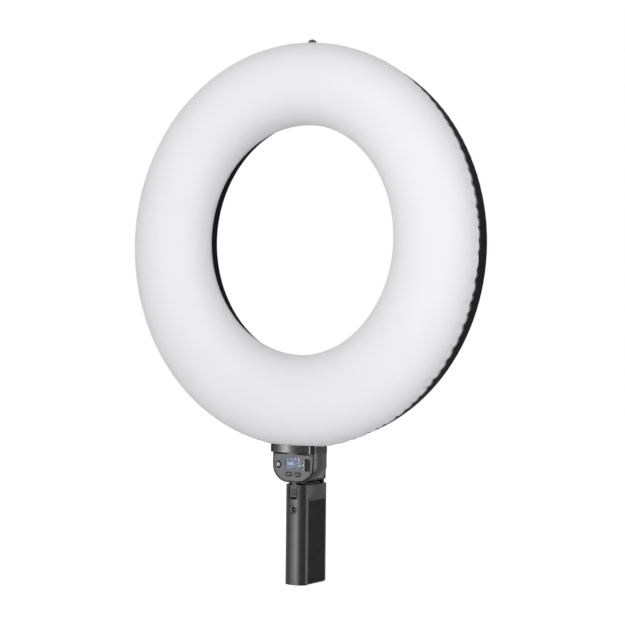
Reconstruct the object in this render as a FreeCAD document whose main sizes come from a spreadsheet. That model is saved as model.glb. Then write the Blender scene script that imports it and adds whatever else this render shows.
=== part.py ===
import FreeCAD, Part
import math
import os
import re

import Sketcher
from FreeCAD import Placement, Rotation, Vector

# A hand-held ring light: a round shell with a puffed fabric cover, a control housing under it,
# and a battery grip that the housing docks on. Millimetres, +Z up, the front of the light faces -Y.
# The origin is the mouth of the thread in the base of the grip.

doc = FreeCAD.newDocument("ring_light")
dims = doc.addObject("Spreadsheet::Sheet", "Dims")

# The driving dimensions. Each becomes a named cell of the sheet.
SIZES = {
    # Grip: plan outline, walls and heights
    "grip_width": 29.0,
    "grip_depth": 48.2,
    "grip_heel": 2.0,
    "heel_cut": 4.0,
    "crown_height": 18.0,
    "side_bulge": 1.6,
    "scoop_radius": 16.0,
    "grip_wall": 2.0,
    "nose_depth": 10.1,
    "back_round": 3.0,
    "cap_height": 5.0,
    "cap_chamfer": 1.4,
    # Rubber side pads
    "pad_front": 1.6,
    "pad_back": 5.4,
    "pad_low": 2.0,
    "pad_under_crown": 0.5,
    "pad_recess": 1.4,
    "pad_thick": 1.1,
    "pad_gap": 0.15,
    # Thread in the base, and the cap's screws
    "thread_bore": 2.6,
    "insert_radius": 5.0,
    "insert_height": 7.5,
    "cap_screw_core": 1.2,
    "cap_screw_head": 2.2,
    "cap_screw_sink": 1.8,
    "cap_screw_side": 9.9,
    "cap_screw_pitch": 19.0,
    "cap_screw_bite": 4.0,
    # Battery cells and their cradles
    "cell_radius": 10.5,
    "cell_length": 70.0,
    "cell_pitch": 21.2,
    "cradle_height": 7.0,
    "cup_floor": 3.5,
    "contact_plate": 0.5,
    "cradle_roof": 2.5,
    # Power inlet and charging board
    "jack_gap": 0.6,
    "jack_radius": 4.2,
    "jack_bore": 2.8,
    "jack_length": 11.0,
    "jack_sunk": 1.8,
    "jack_mouth_width": 11.7,
    "jack_mouth_height": 9.2,
    "jack_pin": 1.0,
    "jack_floor": 2.0,
    "board_thick": 1.6,
    "charge_board_gap": 4.7,
    # Latch slider, its window and its spring
    "latch_width": 8.0,
    "latch_top_gap": 1.7,
    "latch_height": 12.4,
    "latch_travel": 2.0,
    "latch_window": 12.4,
    "latch_sunk": 1.7,
    "latch_seat": 2.6,
    "latch_seat_wall": 2.0,
    "latch_tongue": 6.0,
    "latch_tongue_thick": 2.3,
    "latch_bite": 1.7,
    "spring_radius": 1.0,
    "spring_wire": 0.25,
    "spring_length": 8.0,
    "spring_pitch": 1.3,
    "shelf_gap": 0.7,
    "shelf_thick": 1.2,
    # Dock between grip and head
    "dock_gap": 2.6,
    "gasket_width": 24.0,
    "gasket_length": 29.0,
    "contact_width": 13.0,
    "contact_depth": 5.6,
    "contact_height": 6.5,
    "contact_pin": 0.8,
    "contact_pin_length": 3.0,
    "contact_pitch": 3.2,
    "socket_wall": 1.2,
    "socket_height": 9.4,
    "tongue_width": 27.2,
    "tongue_thick": 3.4,
    "tongue_rise": 31.0,
    "tongue_root": 22.0,
    "tongue_stem": 24.4,
    # Control housing
    "housing_width": 56.0,
    "housing_height": 34.4,
    "housing_depth": 28.8,
    "housing_corner": 20.0,
    "housing_wall": 2.0,
    "housing_forward": 25.25,
    "panel_thick": 2.0,
    "panel_inset": 0.7,
    "panel_round": 0.7,
    # Receiver block behind the housing
    "receiver_width": 32.0,
    "receiver_depth": 18.7,
    "receiver_height": 30.0,
    "receiver_foot": 2.4,
    "receiver_chamfer": 2.0,
    "receiver_screw_core": 1.2,
    "receiver_screw_head": 2.4,
    "receiver_screw_rise": 2.0,
    "receiver_screw_side": 8.0,
    # Panel fittings, measured from the panel's middle and the housing's floor
    "power_left": 19.7,
    "power_up": 20.3,
    "power_radius": 3.2,
    "bezel_radius": 4.4,
    "display_shift": 0.6,
    "display_up": 22.55,
    "display_width": 21.6,
    "display_height": 11.7,
    "module_thick": 3.6,
    "module_margin": 2.0,
    "oval_left": 5.15,
    "oval_right": 6.8,
    "oval_up": 9.8,
    "oval_width": 7.4,
    "oval_height": 3.3,
    "oval_rim": 0.8,
    "button_proud": 0.7,
    "button_travel": 0.8,
    "wheel_right": 20.55,
    "wheel_up": 21.0,
    "wheel_slot_width": 6.9,
    "wheel_slot_height": 13.8,
    "wheel_radius": 8.5,
    "wheel_width": 5.7,
    "wheel_proud": 1.2,
    "axle_radius": 1.5,
    "encoder_width": 4.2,
    "encoder_height": 10.0,
    "fit_gap": 0.05,
    "part_gap": 0.3,
    "board_back": 16.4,
    "switch_size": 5.0,
    "switch_height": 3.5,
    "post_radius": 2.2,
    "post_side_high": 19.0,
    "post_side_low": 13.0,
    "post_up_high": 27.0,
    "post_up_low": 9.5,
    # Collar between housing and ring
    "collar_width": 62.0,
    "collar_front": 29.1,
    "collar_back": 3.9,
    "collar_height": 8.8,
    "collar_round": 6.0,
    "saddle_height": 5.2,
    "collar_screw_side": 14.0,
    "collar_screw_back": 0.9,
    "collar_screw_core": 1.5,
    "collar_screw_head": 2.3,
    "collar_screw_rise": 2.2,
    "saddle_boss_radius": 3.5,
    "saddle_boss_height": 7.0,
    "saddle_boss_sunk": 1.3,
    "collar_screw_length": 17.0,
    "loom_radius": 1.8,
    "loom_back": 2.3,
    "loom_length": 31.0,
    "loom_drop": 9.0,
    "plug_width": 8.0,
    "plug_depth": 6.0,
    "plug_height": 5.0,
    # Ring: shell, light board, diffuser and cover
    "joint_forward": 11.65,
    "shell_seat": 1.2,
    "shell_radius": 228.0,
    "shell_hole": 140.1,
    "shell_depth": 26.9,
    "shell_wall": 2.0,
    "shell_edge": 3.4,
    "hole_rise": 6.2,
    "ring_board_sunk": 6.9,
    "ring_board_gap": 1.0,
    "boss_radius": 4.0,
    "board_screw_core": 1.25,
    "board_screw_head": 2.8,
    "board_screw_rise": 1.6,
    "board_screw_length": 8.0,
    "vent_inset": 23.0,
    "vent_width": 3.0,
    "vent_length": 16.0,
    "lamp_width": 2.8,
    "lamp_length": 3.5,
    "lamp_height": 0.7,
    "lamp_offset": 16.0,
    "cover_bulge": 48.0,
    "cover_round": 46.0,
    "cover_over": 4.5,
    "cover_over_hole": 7.6,
    "cover_thick": 1.2,
    "dome_thick": 2.0,
    "hem_height": 4.4,
    "hem_round": 1.2,
    # Driver parts on the back of the light board
    "driver_up": 38.0,
    "driver_side": 24.0,
    "coil_radius": 6.0,
    "coil_height": 8.0,
    "capacitor_radius": 4.0,
    "capacitor_height": 12.0,
    # Accessory stud on top of the ring, with its washer and cap nut
    "stud_radius": 3.175,
    "stud_inset": 8.75,
    "stud_inside": 10.0,
    "stud_outside": 10.2,
    "nut_corner": 6.41,
    "nut_height": 5.5,
    "washer_radius": 7.0,
    "washer_height": 1.2,
    "dome_radius": 5.6,
    # Counts
    "boss_count": 8,
    "vent_count": 24,
    "lamp_count": 30,
    "wheel_rib_count": 28,
}

for row, (name, millimetres) in enumerate(SIZES.items(), start=1):
    dims.set(f"A{row}", name)
    dims.set(f"B{row}", str(millimetres))
    dims.setAlias(f"B{row}", name)
doc.recompute()

GRIP_FRONT = "(-grip_depth / 2)"
GRIP_BACK = "(grip_depth / 2 + grip_heel)"
SPLIT = "(nose_depth - grip_depth / 2)"
HALF_GRIP = "(grip_width / 2)"
CUP_FLOOR = "(cap_height + cup_floor)"
CELL_TOP = f"({CUP_FLOOR} + contact_plate + cell_length)"
CRADLE_TOP = f"({CELL_TOP} + contact_plate + cradle_roof)"
JACK_Z = f"({CRADLE_TOP} + jack_gap + jack_radius)"
SPRING_Z = f"({JACK_Z} + jack_radius + shelf_gap + shelf_thick)"
LATCH_LOW = f"({SPRING_Z} + spring_length)"
LATCH_TOP = f"({LATCH_LOW} + latch_height)"
GRIP_TOP = f"({LATCH_TOP} + latch_top_gap)"
CROWN_LOW = f"({GRIP_TOP} - crown_height)"
FLOOR = f"({GRIP_TOP} + dock_gap)"
HOUSING_TOP = f"({FLOOR} + housing_height)"
COLLAR_TOP = f"({HOUSING_TOP} + collar_height)"
RING_Z = f"({COLLAR_TOP} + shell_seat + shell_radius)"
SHELL_TOP = f"({RING_Z} + shell_radius)"
SHELL_BACK = "(shell_depth - joint_forward)"
RING_BOARD_BACK = "(ring_board_sunk - joint_forward)"
BOSS_CIRCLE = "((shell_radius + shell_hole) / 2)"
VENT_CIRCLE = "(shell_radius - vent_inset)"
STUD_Y = f"({SHELL_BACK} - stud_inset)"
COVER_BASE = "(-joint_forward - hem_height / 2)"
PANEL_FRONT = "(-housing_forward)"
HOUSING_BACK = "(housing_depth - housing_forward)"
BOARD_FRONT = f"({PANEL_FRONT} + board_back)"
TONGUE_BACK = "(grip_depth / 2 - tongue_thick)"
TONGUE_FRONT = f"({TONGUE_BACK} - tongue_thick)"

UPRIGHT = Rotation()
FORWARD = Rotation(Vector(1, 0, 0), 90)
SIDEWAYS = Rotation(Vector(0, 1, 0), 90)


def formula(text):
    """The sheet's form of a formula: each dimension's name gets the sheet's name before it."""
    return re.sub(r"[a-z_]+", lambda word: "Dims." + word[0] if word[0] in SIZES else word[0], str(text))


def bind(thing, **formulas):
    """Bind properties of an object to formulas, a dot in a property's name written as two underscores."""
    for name, text in formulas.items():
        thing.setExpression(name.replace("__", "."), formula(text))


def place(thing, x, y, z, turn=UPRIGHT):
    """Put an object at x, y, z, turned by a fixed rotation."""
    thing.Placement = Placement(Vector(), turn)
    bind(thing, Placement__Base__x=x, Placement__Base__y=y, Placement__Base__z=z)


# Solids made from primitives


def box(label, x, y, z):
    """A box between the low and high formulas of each pair."""
    thing = doc.addObject("Part::Box", label)
    place(thing, x[0], y[0], z[0])
    bind(thing, Length=f"{x[1]} - ({x[0]})", Width=f"{y[1]} - ({y[0]})", Height=f"{z[1]} - ({z[0]})")
    return thing


def wide_box(label, width, y, z, middle="0"):
    """A box of a given width, centred on x = middle."""
    return box(label, (f"({middle} - {width} / 2)", f"({middle} + {width} / 2)"), y, z)


def rod(label, x, y, z, radius, length, turn=UPRIGHT):
    """A cylinder that starts at x, y, z and runs up, or forward, or sideways."""
    thing = doc.addObject("Part::Cylinder", label)
    place(thing, x, y, z, turn)
    bind(thing, Radius=radius, Height=length)
    return thing


def fuse(label, *parts):
    """Several solids made one."""
    thing = doc.addObject("Part::MultiFuse", label)
    thing.Shapes = list(parts)
    return thing


def cut(label, base, *tools):
    """A solid with others taken out of it."""
    thing = doc.addObject("Part::Cut", label)
    thing.Base = base
    thing.Tool = tools[0] if len(tools) == 1 else fuse(label + "_tools", *tools)
    return thing


def common(label, first, second):
    """What two solids share."""
    thing = doc.addObject("Part::MultiCommon", label)
    thing.Shapes = [first, second]
    return thing


def group(label, parts):
    """Like pieces that stay separate solids in one node."""
    thing = doc.addObject("Part::Compound", label)
    thing.Links = list(parts)
    return thing


def oval(label, x, y, z, width, height, length):
    """An obround bar that runs forward from y."""
    offset = f"({width} - {height}) / 2"
    middle = wide_box(label + "_bar", f"({width} - {height})", (f"({y} - {length})", y),
                      (f"({z} - {height} / 2)", f"({z} + {height} / 2)"), x)
    left = rod(label + "_left", f"{x} - {offset}", y, z, f"{height} / 2", length, FORWARD)
    right = rod(label + "_right", f"{x} + {offset}", y, z, f"{height} / 2", length, FORWARD)
    return fuse(label, middle, left, right)


# Bodies made from sketches


def body(label, x, y, z, turn=UPRIGHT):
    """A body with its own frame at x, y, z."""
    thing = doc.addObject("PartDesign::Body", label)
    place(thing, x, y, z, turn)
    return thing


def datum(owner, role):
    """One of a body's own origin planes or axes."""
    return next(item for item in owner.Origin.OriginFeatures if item.Role == role)


def sketch(owner, label, height="0"):
    """A sketch on a body's XY plane, raised by a formula."""
    thing = owner.newObject("Sketcher::SketchObject", label)
    thing.AttachmentSupport = [(datum(owner, "XY_Plane"), "")]
    thing.MapMode = "FlatFace"
    bind(thing, AttachmentOffset__Base__z=height)
    return thing


def fix(drawing, kind, references, name, text, start):
    """A named dimension in a sketch, bound to a formula."""
    drawing.addConstraint(Sketcher.Constraint(kind, *references, start))
    drawing.renameConstraint(drawing.ConstraintCount - 1, name)
    bind(drawing, **{"Constraints__" + name: text})


def draw_circle(drawing, name, x, y, radius):
    """A circle whose centre and radius are formulas."""
    ring = drawing.addGeometry(Part.Circle(Vector(1, 1, 0), Vector(0, 0, 1), 5))
    fix(drawing, "DistanceX", (-1, 1, ring, 3), name + "_x", x, 1)
    fix(drawing, "DistanceY", (-1, 1, ring, 3), name + "_y", y, 1)
    fix(drawing, "Radius", (ring,), name + "_radius", radius, 5)


def draw_rectangle(drawing, name, x, y):
    """A rectangle between the low and high formulas of each pair."""
    corners = [Vector(1, 1, 0), Vector(9, 1, 0), Vector(9, 7, 0), Vector(1, 7, 0)]
    sides = [drawing.addGeometry(Part.LineSegment(corners[k], corners[(k + 1) % 4])) for k in range(4)]
    for k in range(4):
        drawing.addConstraint(Sketcher.Constraint("Coincident", sides[k], 2, sides[(k + 1) % 4], 1))
        drawing.addConstraint(Sketcher.Constraint(("Horizontal", "Vertical")[k % 2], sides[k]))
    fix(drawing, "DistanceX", (-1, 1, sides[0], 1), name + "_low_x", x[0], 1)
    fix(drawing, "DistanceX", (-1, 1, sides[2], 1), name + "_high_x", x[1], 9)
    fix(drawing, "DistanceY", (-1, 1, sides[0], 1), name + "_low_y", y[0], 1)
    fix(drawing, "DistanceY", (-1, 1, sides[2], 1), name + "_high_y", y[1], 7)


def pad(owner, drawing, length):
    """Material from a sketch, along the body's Z."""
    thing = owner.newObject("PartDesign::Pad", drawing.Label + "_pad")
    thing.Profile = drawing
    bind(thing, Length=length)
    return thing


def pocket(owner, drawing, length):
    """A cut from a sketch, against the body's Z."""
    thing = owner.newObject("PartDesign::Pocket", drawing.Label + "_pocket")
    thing.Profile = drawing
    bind(thing, Length=length)
    return thing


def polar(owner, feature, count):
    """A feature repeated round the body's Z axis."""
    thing = owner.newObject("PartDesign::PolarPattern", feature.Label + "_round")
    thing.Originals = [feature]
    thing.Axis = (datum(owner, "Z_Axis"), [""])
    thing.Angle = 360
    bind(thing, Occurrences=count)
    owner.Tip = thing
    return thing


def edges(feature, wanted):
    """The names of the edges of a feature that pass a test."""
    doc.recompute()
    return [f"Edge{k + 1}" for k, edge in enumerate(feature.Shape.Edges) if wanted(edge, feature.Shape.BoundBox)]


def rounded(owner, feature, wanted, radius, kind="Fillet"):
    """Round or chamfer the edges that pass a test."""
    thing = owner.newObject("PartDesign::" + kind, f"{feature.Label}_{kind.lower()}")
    thing.Base = (feature, edges(feature, wanted))
    bind(thing, **{"Radius" if kind == "Fillet" else "Size": radius})
    return thing


def near(first, second):
    """True for two lengths that agree to a hundredth of a millimetre."""
    return abs(first - second) < 0.01


def upright(edge):
    """True for a straight edge along the body's Z."""
    return isinstance(edge.Curve, Part.Line) and abs(edge.Curve.Direction.z) > 0.99


def on_low_side(edge, bounds):
    """An upright edge on the low-Y side."""
    return upright(edge) and near(edge.BoundBox.YMin, bounds.YMin)


def on_high_side(edge, bounds):
    """An upright edge on the high-Y side."""
    return upright(edge) and near(edge.BoundBox.YMax, bounds.YMax)


def on_any_side(edge, bounds):
    """Any upright edge."""
    return upright(edge)


def on_top(edge, bounds):
    """An edge of the top face."""
    return near(edge.BoundBox.ZMin, bounds.ZMax)


def on_bottom(edge, bounds):
    """An edge of the bottom face."""
    return near(edge.BoundBox.ZMax, bounds.ZMin)


def on_top_or_bottom(edge, bounds):
    """An edge of the top or bottom face."""
    return on_top(edge, bounds) or on_bottom(edge, bounds)


# Grip


def nose(label, inset, bottom, top):
    """The half-oval front of the grip, drawn in by a formula and cut off at the split plane."""
    outline = doc.addObject("Part::Ellipse", label + "_oval")
    place(outline, "0", SPLIT, bottom)
    bind(outline, MajorRadius=f"{HALF_GRIP} - {inset}", MinorRadius=f"nose_depth - {inset}")
    bar = doc.addObject("Part::Extrusion", label + "_bar")
    bar.Base = outline
    bar.DirMode = "Custom"
    bar.Dir = Vector(0, 0, 1)
    bar.Solid = True
    bind(bar, LengthFwd=f"{top} - {bottom}")
    front = wide_box(label + "_front", "grip_width", (GRIP_FRONT, SPLIT), (bottom, top))
    return common(label, bar, front)


def pad_shape(label, low_x, high_x, grow):
    """A side pad's outline between two x formulas."""
    front = f"({SPLIT} + pad_front - {grow})"
    back = f"({GRIP_BACK} - pad_back + {grow})"
    return box(label, (low_x, high_x), (front, back),
               (f"(pad_low - {grow})", f"({CROWN_LOW} - pad_under_crown + {grow})"))


def pad_recesses(label):
    """The recesses of both side pads."""
    return [pad_shape(label + "_left", f"(-{HALF_GRIP} - 1)", f"(pad_recess - {HALF_GRIP})", "pad_gap"),
            pad_shape(label + "_right", f"({HALF_GRIP} - pad_recess)", f"({HALF_GRIP} + 1)", "pad_gap")]


def grip_crown():
    """The bulged top of the grip's sides, scooped down to the flat that carries the pads."""
    rear = f"({GRIP_BACK} - back_round)"
    length = f"({rear} - {SPLIT})"
    middle = f"(({rear} + {SPLIT}) / 2)"
    bend = f"({length} * {length} / (8 * side_bulge) + side_bulge / 2)"
    heights = (CROWN_LOW, GRIP_TOP)
    block = wide_box("crown_block", "(grip_width + 2 * side_bulge)", (SPLIT, rear), heights)
    room = wide_box("crown_room", "(grip_width - 2)", (f"({SPLIT} - 1)", f"({rear} + 1)"),
                    (f"({CROWN_LOW} - 1)", f"({GRIP_TOP} + 1)"))
    scoops = []
    for k, side in enumerate((-1, 1)):
        bulge = rod(f"crown_side_{k}", f"({side} * ({HALF_GRIP} + side_bulge - {bend}))", middle, CROWN_LOW, bend,
                    "crown_height")
        block = common(f"crown_bulge_{k}", block, bulge)
        scoops.append(rod(f"crown_scoop_{k}", f"({side} * ({HALF_GRIP} - fit_gap + scoop_radius))", f"({rear} + 1)",
                          CROWN_LOW, "scoop_radius", f"({length} + 2)", FORWARD))
    return cut("grip_crown", block, room, *scoops)


def grip_parts():
    """The two halves of the grip, its pads and its base cap."""
    slider_slot = wide_box("slider_slot", "(latch_width + 2 * pad_gap)", (GRIP_FRONT, "0"),
                           (f"({LATCH_LOW} - latch_travel - part_gap)", f"({LATCH_TOP} + pad_gap)"))
    tongue_slot = wide_box("tongue_slot", "(latch_tongue + 2 * part_gap)",
                           (LATCH_TONGUE[0] + " - part_gap", LATCH_TONGUE[1] + " + part_gap"),
                           (f"({LATCH_TOP} - latch_travel)", f"({GRIP_TOP} + 1)"))
    window = wide_box("latch_recess", "latch_window", (f"({GRIP_FRONT} - 1)", f"({GRIP_FRONT} + latch_seat)"),
                      (f"({LATCH_LOW} - latch_travel - part_gap)", f"({LATCH_TOP} + pad_gap)"))
    seat = wide_box("latch_seat_wall_block", "(latch_window + 2 * grip_wall)",
                    (f"({GRIP_FRONT} + grip_wall - pad_gap)", f"({GRIP_FRONT} + latch_seat + latch_seat_wall)"),
                    (f"({LATCH_LOW} - latch_travel - grip_wall)", f"({GRIP_TOP} - grip_wall + pad_gap)"))
    shelf = wide_box("spring_shelf", "(6 * spring_radius)", (f"({GRIP_FRONT} + grip_wall - pad_gap)", SPRING_Y + " + 2"),
                     (f"({SPRING_Z} - shelf_thick)", SPRING_Z))
    jack_hole = rod("jack_hole", "0", SPLIT, JACK_Z, "(jack_radius + fit_gap)", "(nose_depth + 1)", FORWARD)
    jack_mouth = oval("jack_mouth", "0", f"({GRIP_FRONT} + jack_sunk)", JACK_Z, "jack_mouth_width", "jack_mouth_height",
                      "(jack_sunk + 1)")
    jack_plate = wide_box("jack_plate", "(jack_mouth_width + 2 * grip_wall)",
                          (f"({GRIP_FRONT} + grip_wall - pad_gap)", f"({GRIP_FRONT} + jack_sunk + grip_wall)"),
                          (f"({JACK_Z} - jack_mouth_height / 2 - grip_wall)", f"({JACK_Z} + jack_mouth_height / 2 + grip_wall)"))
    outer = nose("cover_outer", "0", "cap_height", GRIP_TOP)
    inner = nose("cover_inner", "grip_wall", "(cap_height - 1)", f"({GRIP_TOP} - grip_wall)")
    hollow = cut("cover_hollow", outer, inner)
    seat_limit = nose("seat_limit", "fit_gap", "cap_height", GRIP_TOP)
    shelf_limit = nose("shelf_limit", "fit_gap", "cap_height", GRIP_TOP)
    plate_limit = nose("plate_limit", "fit_gap", "cap_height", GRIP_TOP)
    filled = fuse("cover_filled", hollow, common("seat_in_nose", seat_limit, seat),
                  common("shelf_in_nose", shelf_limit, shelf), common("plate_in_nose", plate_limit, jack_plate))
    front_cover = cut("grip_front_cover", filled, window, slider_slot, tongue_slot, jack_hole, jack_mouth)

    shell = body("grip_moulding", "0", "0", "cap_height")
    outline = sketch(shell, "grip_outline")
    draw_rectangle(outline, "grip", (f"-{HALF_GRIP}", HALF_GRIP), (SPLIT, GRIP_BACK))
    block = pad(shell, outline, f"{GRIP_TOP} - cap_height")
    rounded(shell, block, on_high_side, "back_round")
    cavity = sketch(shell, "grip_cavity", f"({GRIP_TOP} - cap_height - grip_wall)")
    draw_rectangle(cavity, "cavity", (f"grip_wall - {HALF_GRIP}", f"{HALF_GRIP} - grip_wall"),
                   (f"{SPLIT} - 1", f"{GRIP_BACK} - grip_wall"))
    pocket(shell, cavity, GRIP_TOP)
    stem_hole = wide_box("stem_hole", "(tongue_stem + 2 * fit_gap)",
                         (f"({TONGUE_FRONT} - fit_gap)", f"({TONGUE_BACK} + fit_gap)"),
                         (f"({GRIP_TOP} - grip_wall - 1)", f"({GRIP_TOP} + 1)"))
    grip_body = cut("grip_body", fuse("grip_with_crown", shell, grip_crown()), *pad_recesses("grip_recess"), stem_hole)

    left_pad = pad_shape("grip_pad_left", f"(pad_recess - pad_thick - {HALF_GRIP})", f"(pad_recess - {HALF_GRIP})", "0")
    right_pad = pad_shape("grip_pad_right", f"({HALF_GRIP} - pad_recess)", f"({HALF_GRIP} - pad_recess + pad_thick)", "0")

    foot = body("cap_block", "0", "0", "0")
    foot_outline = sketch(foot, "cap_outline")
    draw_rectangle(foot_outline, "cap", (f"-{HALF_GRIP}", HALF_GRIP), (SPLIT, GRIP_BACK))
    foot_block = pad(foot, foot_outline, "cap_height")
    foot_round = rounded(foot, foot_block, on_high_side, "back_round")
    rounded(foot, foot_round, lambda edge, bounds: on_bottom(edge, bounds) and not near(edge.BoundBox.YMax, bounds.YMin),
            "cap_chamfer", "Chamfer")
    screw_holes = []
    for column, side in (("left", -1), ("right", 1)):
        for row, back in (("middle", 0), ("back", 1)):
            x, y = f"({side} * cap_screw_side)", f"({back} * cap_screw_pitch)"
            head = rod(f"cap_head_{column}_{row}", x, y, "-1", "(cap_screw_head + pad_gap)", "(cap_screw_sink + 1)")
            shank = rod(f"cap_shank_{column}_{row}", x, y, "0", "(cap_screw_core + pad_gap)", "(cap_height + 1)")
            screw_holes += [head, shank]
    insert_hole = rod("insert_hole", "0", "0", "-1", "insert_radius", "(cap_height + 2)")
    heel = doc.addObject("Part::Wedge", "heel_wedge")
    place(heel, f"(-{HALF_GRIP} - 1)", f"({GRIP_BACK} - heel_cut)", "-1")
    bind(heel, Xmin="0", X2min="0", Xmax="grip_width + 2", X2max="grip_width + 2", Ymin="0", Ymax="heel_cut + 1",
         Zmin="0", Z2min="0", Zmax="1", Z2max="heel_cut + 2")
    base_cap = cut("base_cap", fuse("cap_solid", foot, nose("cap_nose", "0", "0", "cap_height")), insert_hole, heel,
                   *pad_recesses("cap_recess"), *screw_holes)
    return [front_cover, grip_body, left_pad, right_pad, base_cap]


LATCH_TONGUE = (f"({GRIP_FRONT} + latch_seat + fit_gap)", f"({GRIP_FRONT} + latch_seat + fit_gap + latch_tongue_thick)")
SPRING_Y = f"({GRIP_FRONT} + latch_seat + latch_seat_wall + 2.1)"


def grip_inside():
    """What the grip holds: thread, screws, cells, cradles, inlet and charging board."""
    insert = cut("thread_insert", rod("insert_bar", "0", "0", "0", "insert_radius", "insert_height"),
                 rod("insert_bore", "0", "0", "-1", "thread_bore", "(insert_height + 2)"))
    screws = []
    holes = []
    for column, side in (("left", -1), ("right", 1)):
        for row, back in (("middle", 0), ("back", 1)):
            x, y = f"({side} * cap_screw_side)", f"({back} * cap_screw_pitch)"
            head = rod(f"base_screw_head_{column}_{row}", x, y, "pad_gap", "cap_screw_head", "(cap_screw_sink - pad_gap)")
            shank = rod(f"base_screw_shank_{column}_{row}", x, y, "pad_gap", "cap_screw_core", "(cap_height + cap_screw_bite)")
            screws.append(fuse(f"base_screw_{column}_{row}", head, shank))
            holes.append(rod(f"cradle_hole_{column}_{row}", x, y, "cap_height", "cap_screw_core", "(cap_screw_bite + 1)"))
    base_screws = group("base_screws", screws)

    cell_z = f"({CUP_FLOOR} + contact_plate)"
    rows = ("(-cell_pitch / 2)", "(cell_pitch / 2)")
    inner = f"(grip_width - 2 * grip_wall - 2 * part_gap)"
    span = (f"({SPLIT} + part_gap)", f"({GRIP_BACK} - grip_wall - part_gap)")
    lower_cups = [rod(f"lower_cup_{k}", "0", y, CUP_FLOOR, "(cell_radius + part_gap)", "cradle_height")
                  for k, y in enumerate(rows)]
    insert_room = rod("insert_room", "0", "0", "0", "(insert_radius + part_gap)", "(insert_height + fit_gap)")
    lower = cut("lower_cradle", wide_box("lower_block", inner, span, ("cap_height", "(cap_height + cradle_height)")),
                *lower_cups, insert_room, *holes)
    upper_low = f"({CRADLE_TOP} - cradle_height)"
    upper_cups = [rod(f"upper_cup_{k}", "0", y, upper_low, "(cell_radius + part_gap)", "(cradle_height - cradle_roof)")
                  for k, y in enumerate(rows)]
    upper = cut("upper_cradle", wide_box("upper_block", inner, span, (upper_low, CRADLE_TOP)), *upper_cups)
    cells = group("battery_cells", [rod(f"battery_cell_{k}", "0", y, cell_z, "cell_radius", "cell_length")
                                    for k, y in enumerate(rows)])
    plates = []
    for k, y in enumerate(rows):
        plates.append(rod(f"lower_plate_{k}", "0", y, CUP_FLOOR, "(cell_radius * 0.7)", "contact_plate"))
        plates.append(rod(f"upper_plate_{k}", "0", y, CELL_TOP, "(cell_radius * 0.7)", "contact_plate"))
    contacts = group("cell_contacts", plates)

    jack_back = f"({GRIP_FRONT} + jack_sunk + jack_length)"
    jack_bar = rod("jack_bar", "0", jack_back, JACK_Z, "jack_radius", "jack_length", FORWARD)
    jack_bore = rod("jack_bore_bar", "0", f"({jack_back} - jack_floor)", JACK_Z, "jack_bore", "jack_length", FORWARD)
    jack = cut("dc_jack", jack_bar, jack_bore)
    pin = rod("jack_centre_pin", "0", f"({jack_back} - jack_floor)", JACK_Z, "jack_pin", "(jack_length - 1.5 * jack_floor)", FORWARD)
    board = wide_box("charge_board", inner, (jack_back, f"({jack_back} + board_thick)"),
                     (f"({CRADLE_TOP} + part_gap)", f"({GRIP_TOP} - grip_wall - charge_board_gap)"))
    return [insert, base_screws, lower, upper, cells, contacts, jack, pin, board]


def latch_parts():
    """The latch slider with its finger ridges and tongue, and its spring."""
    low = LATCH_LOW
    face_front = f"({GRIP_FRONT} + latch_sunk)"
    seat_back = f"({GRIP_FRONT} + latch_seat + latch_seat_wall)"
    plate = wide_box("slider_plate", "latch_width", (face_front, f"({seat_back} + part_gap)"), (low, LATCH_TOP))
    flange = wide_box("slider_flange", "(latch_width + 3)", (f"({seat_back} + part_gap)", f"({SPRING_Y} + 1.3)"),
                      (low, f"({LATCH_TOP} - 0.5)"))
    tongue = wide_box("slider_tongue", "latch_tongue", LATCH_TONGUE, (f"({LATCH_TOP} - 1)", f"({FLOOR} + latch_bite)"))
    grooves = []
    for k in range(5):
        z = f"({low} + 2.4 + {k} * (latch_height - 4) / 5)"
        grooves.append(rod(f"slider_groove_{k}", "(-latch_width / 2 + 0.8)", face_front, z, "0.45", "(latch_width - 1.6)", SIDEWAYS))
    slider = cut("latch_slider", fuse("slider_solid", plate, flange, tongue), *grooves)

    path = doc.addObject("Part::Helix", "spring_path")
    place(path, "0", SPRING_Y, f"({SPRING_Z} + spring_wire)")
    bind(path, Radius="spring_radius", Pitch="spring_pitch", Height="spring_length - 2 * spring_wire")
    section = doc.addObject("Part::Circle", "spring_section")
    place(section, "spring_radius", SPRING_Y, f"({SPRING_Z} + spring_wire)", FORWARD)
    bind(section, Radius="spring_wire")
    spring = doc.addObject("Part::Sweep", "latch_spring")
    spring.Sections = [section]
    spring.Spine = (path, [])
    spring.Solid = True
    spring.Frenet = True
    return [slider, spring]


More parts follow.
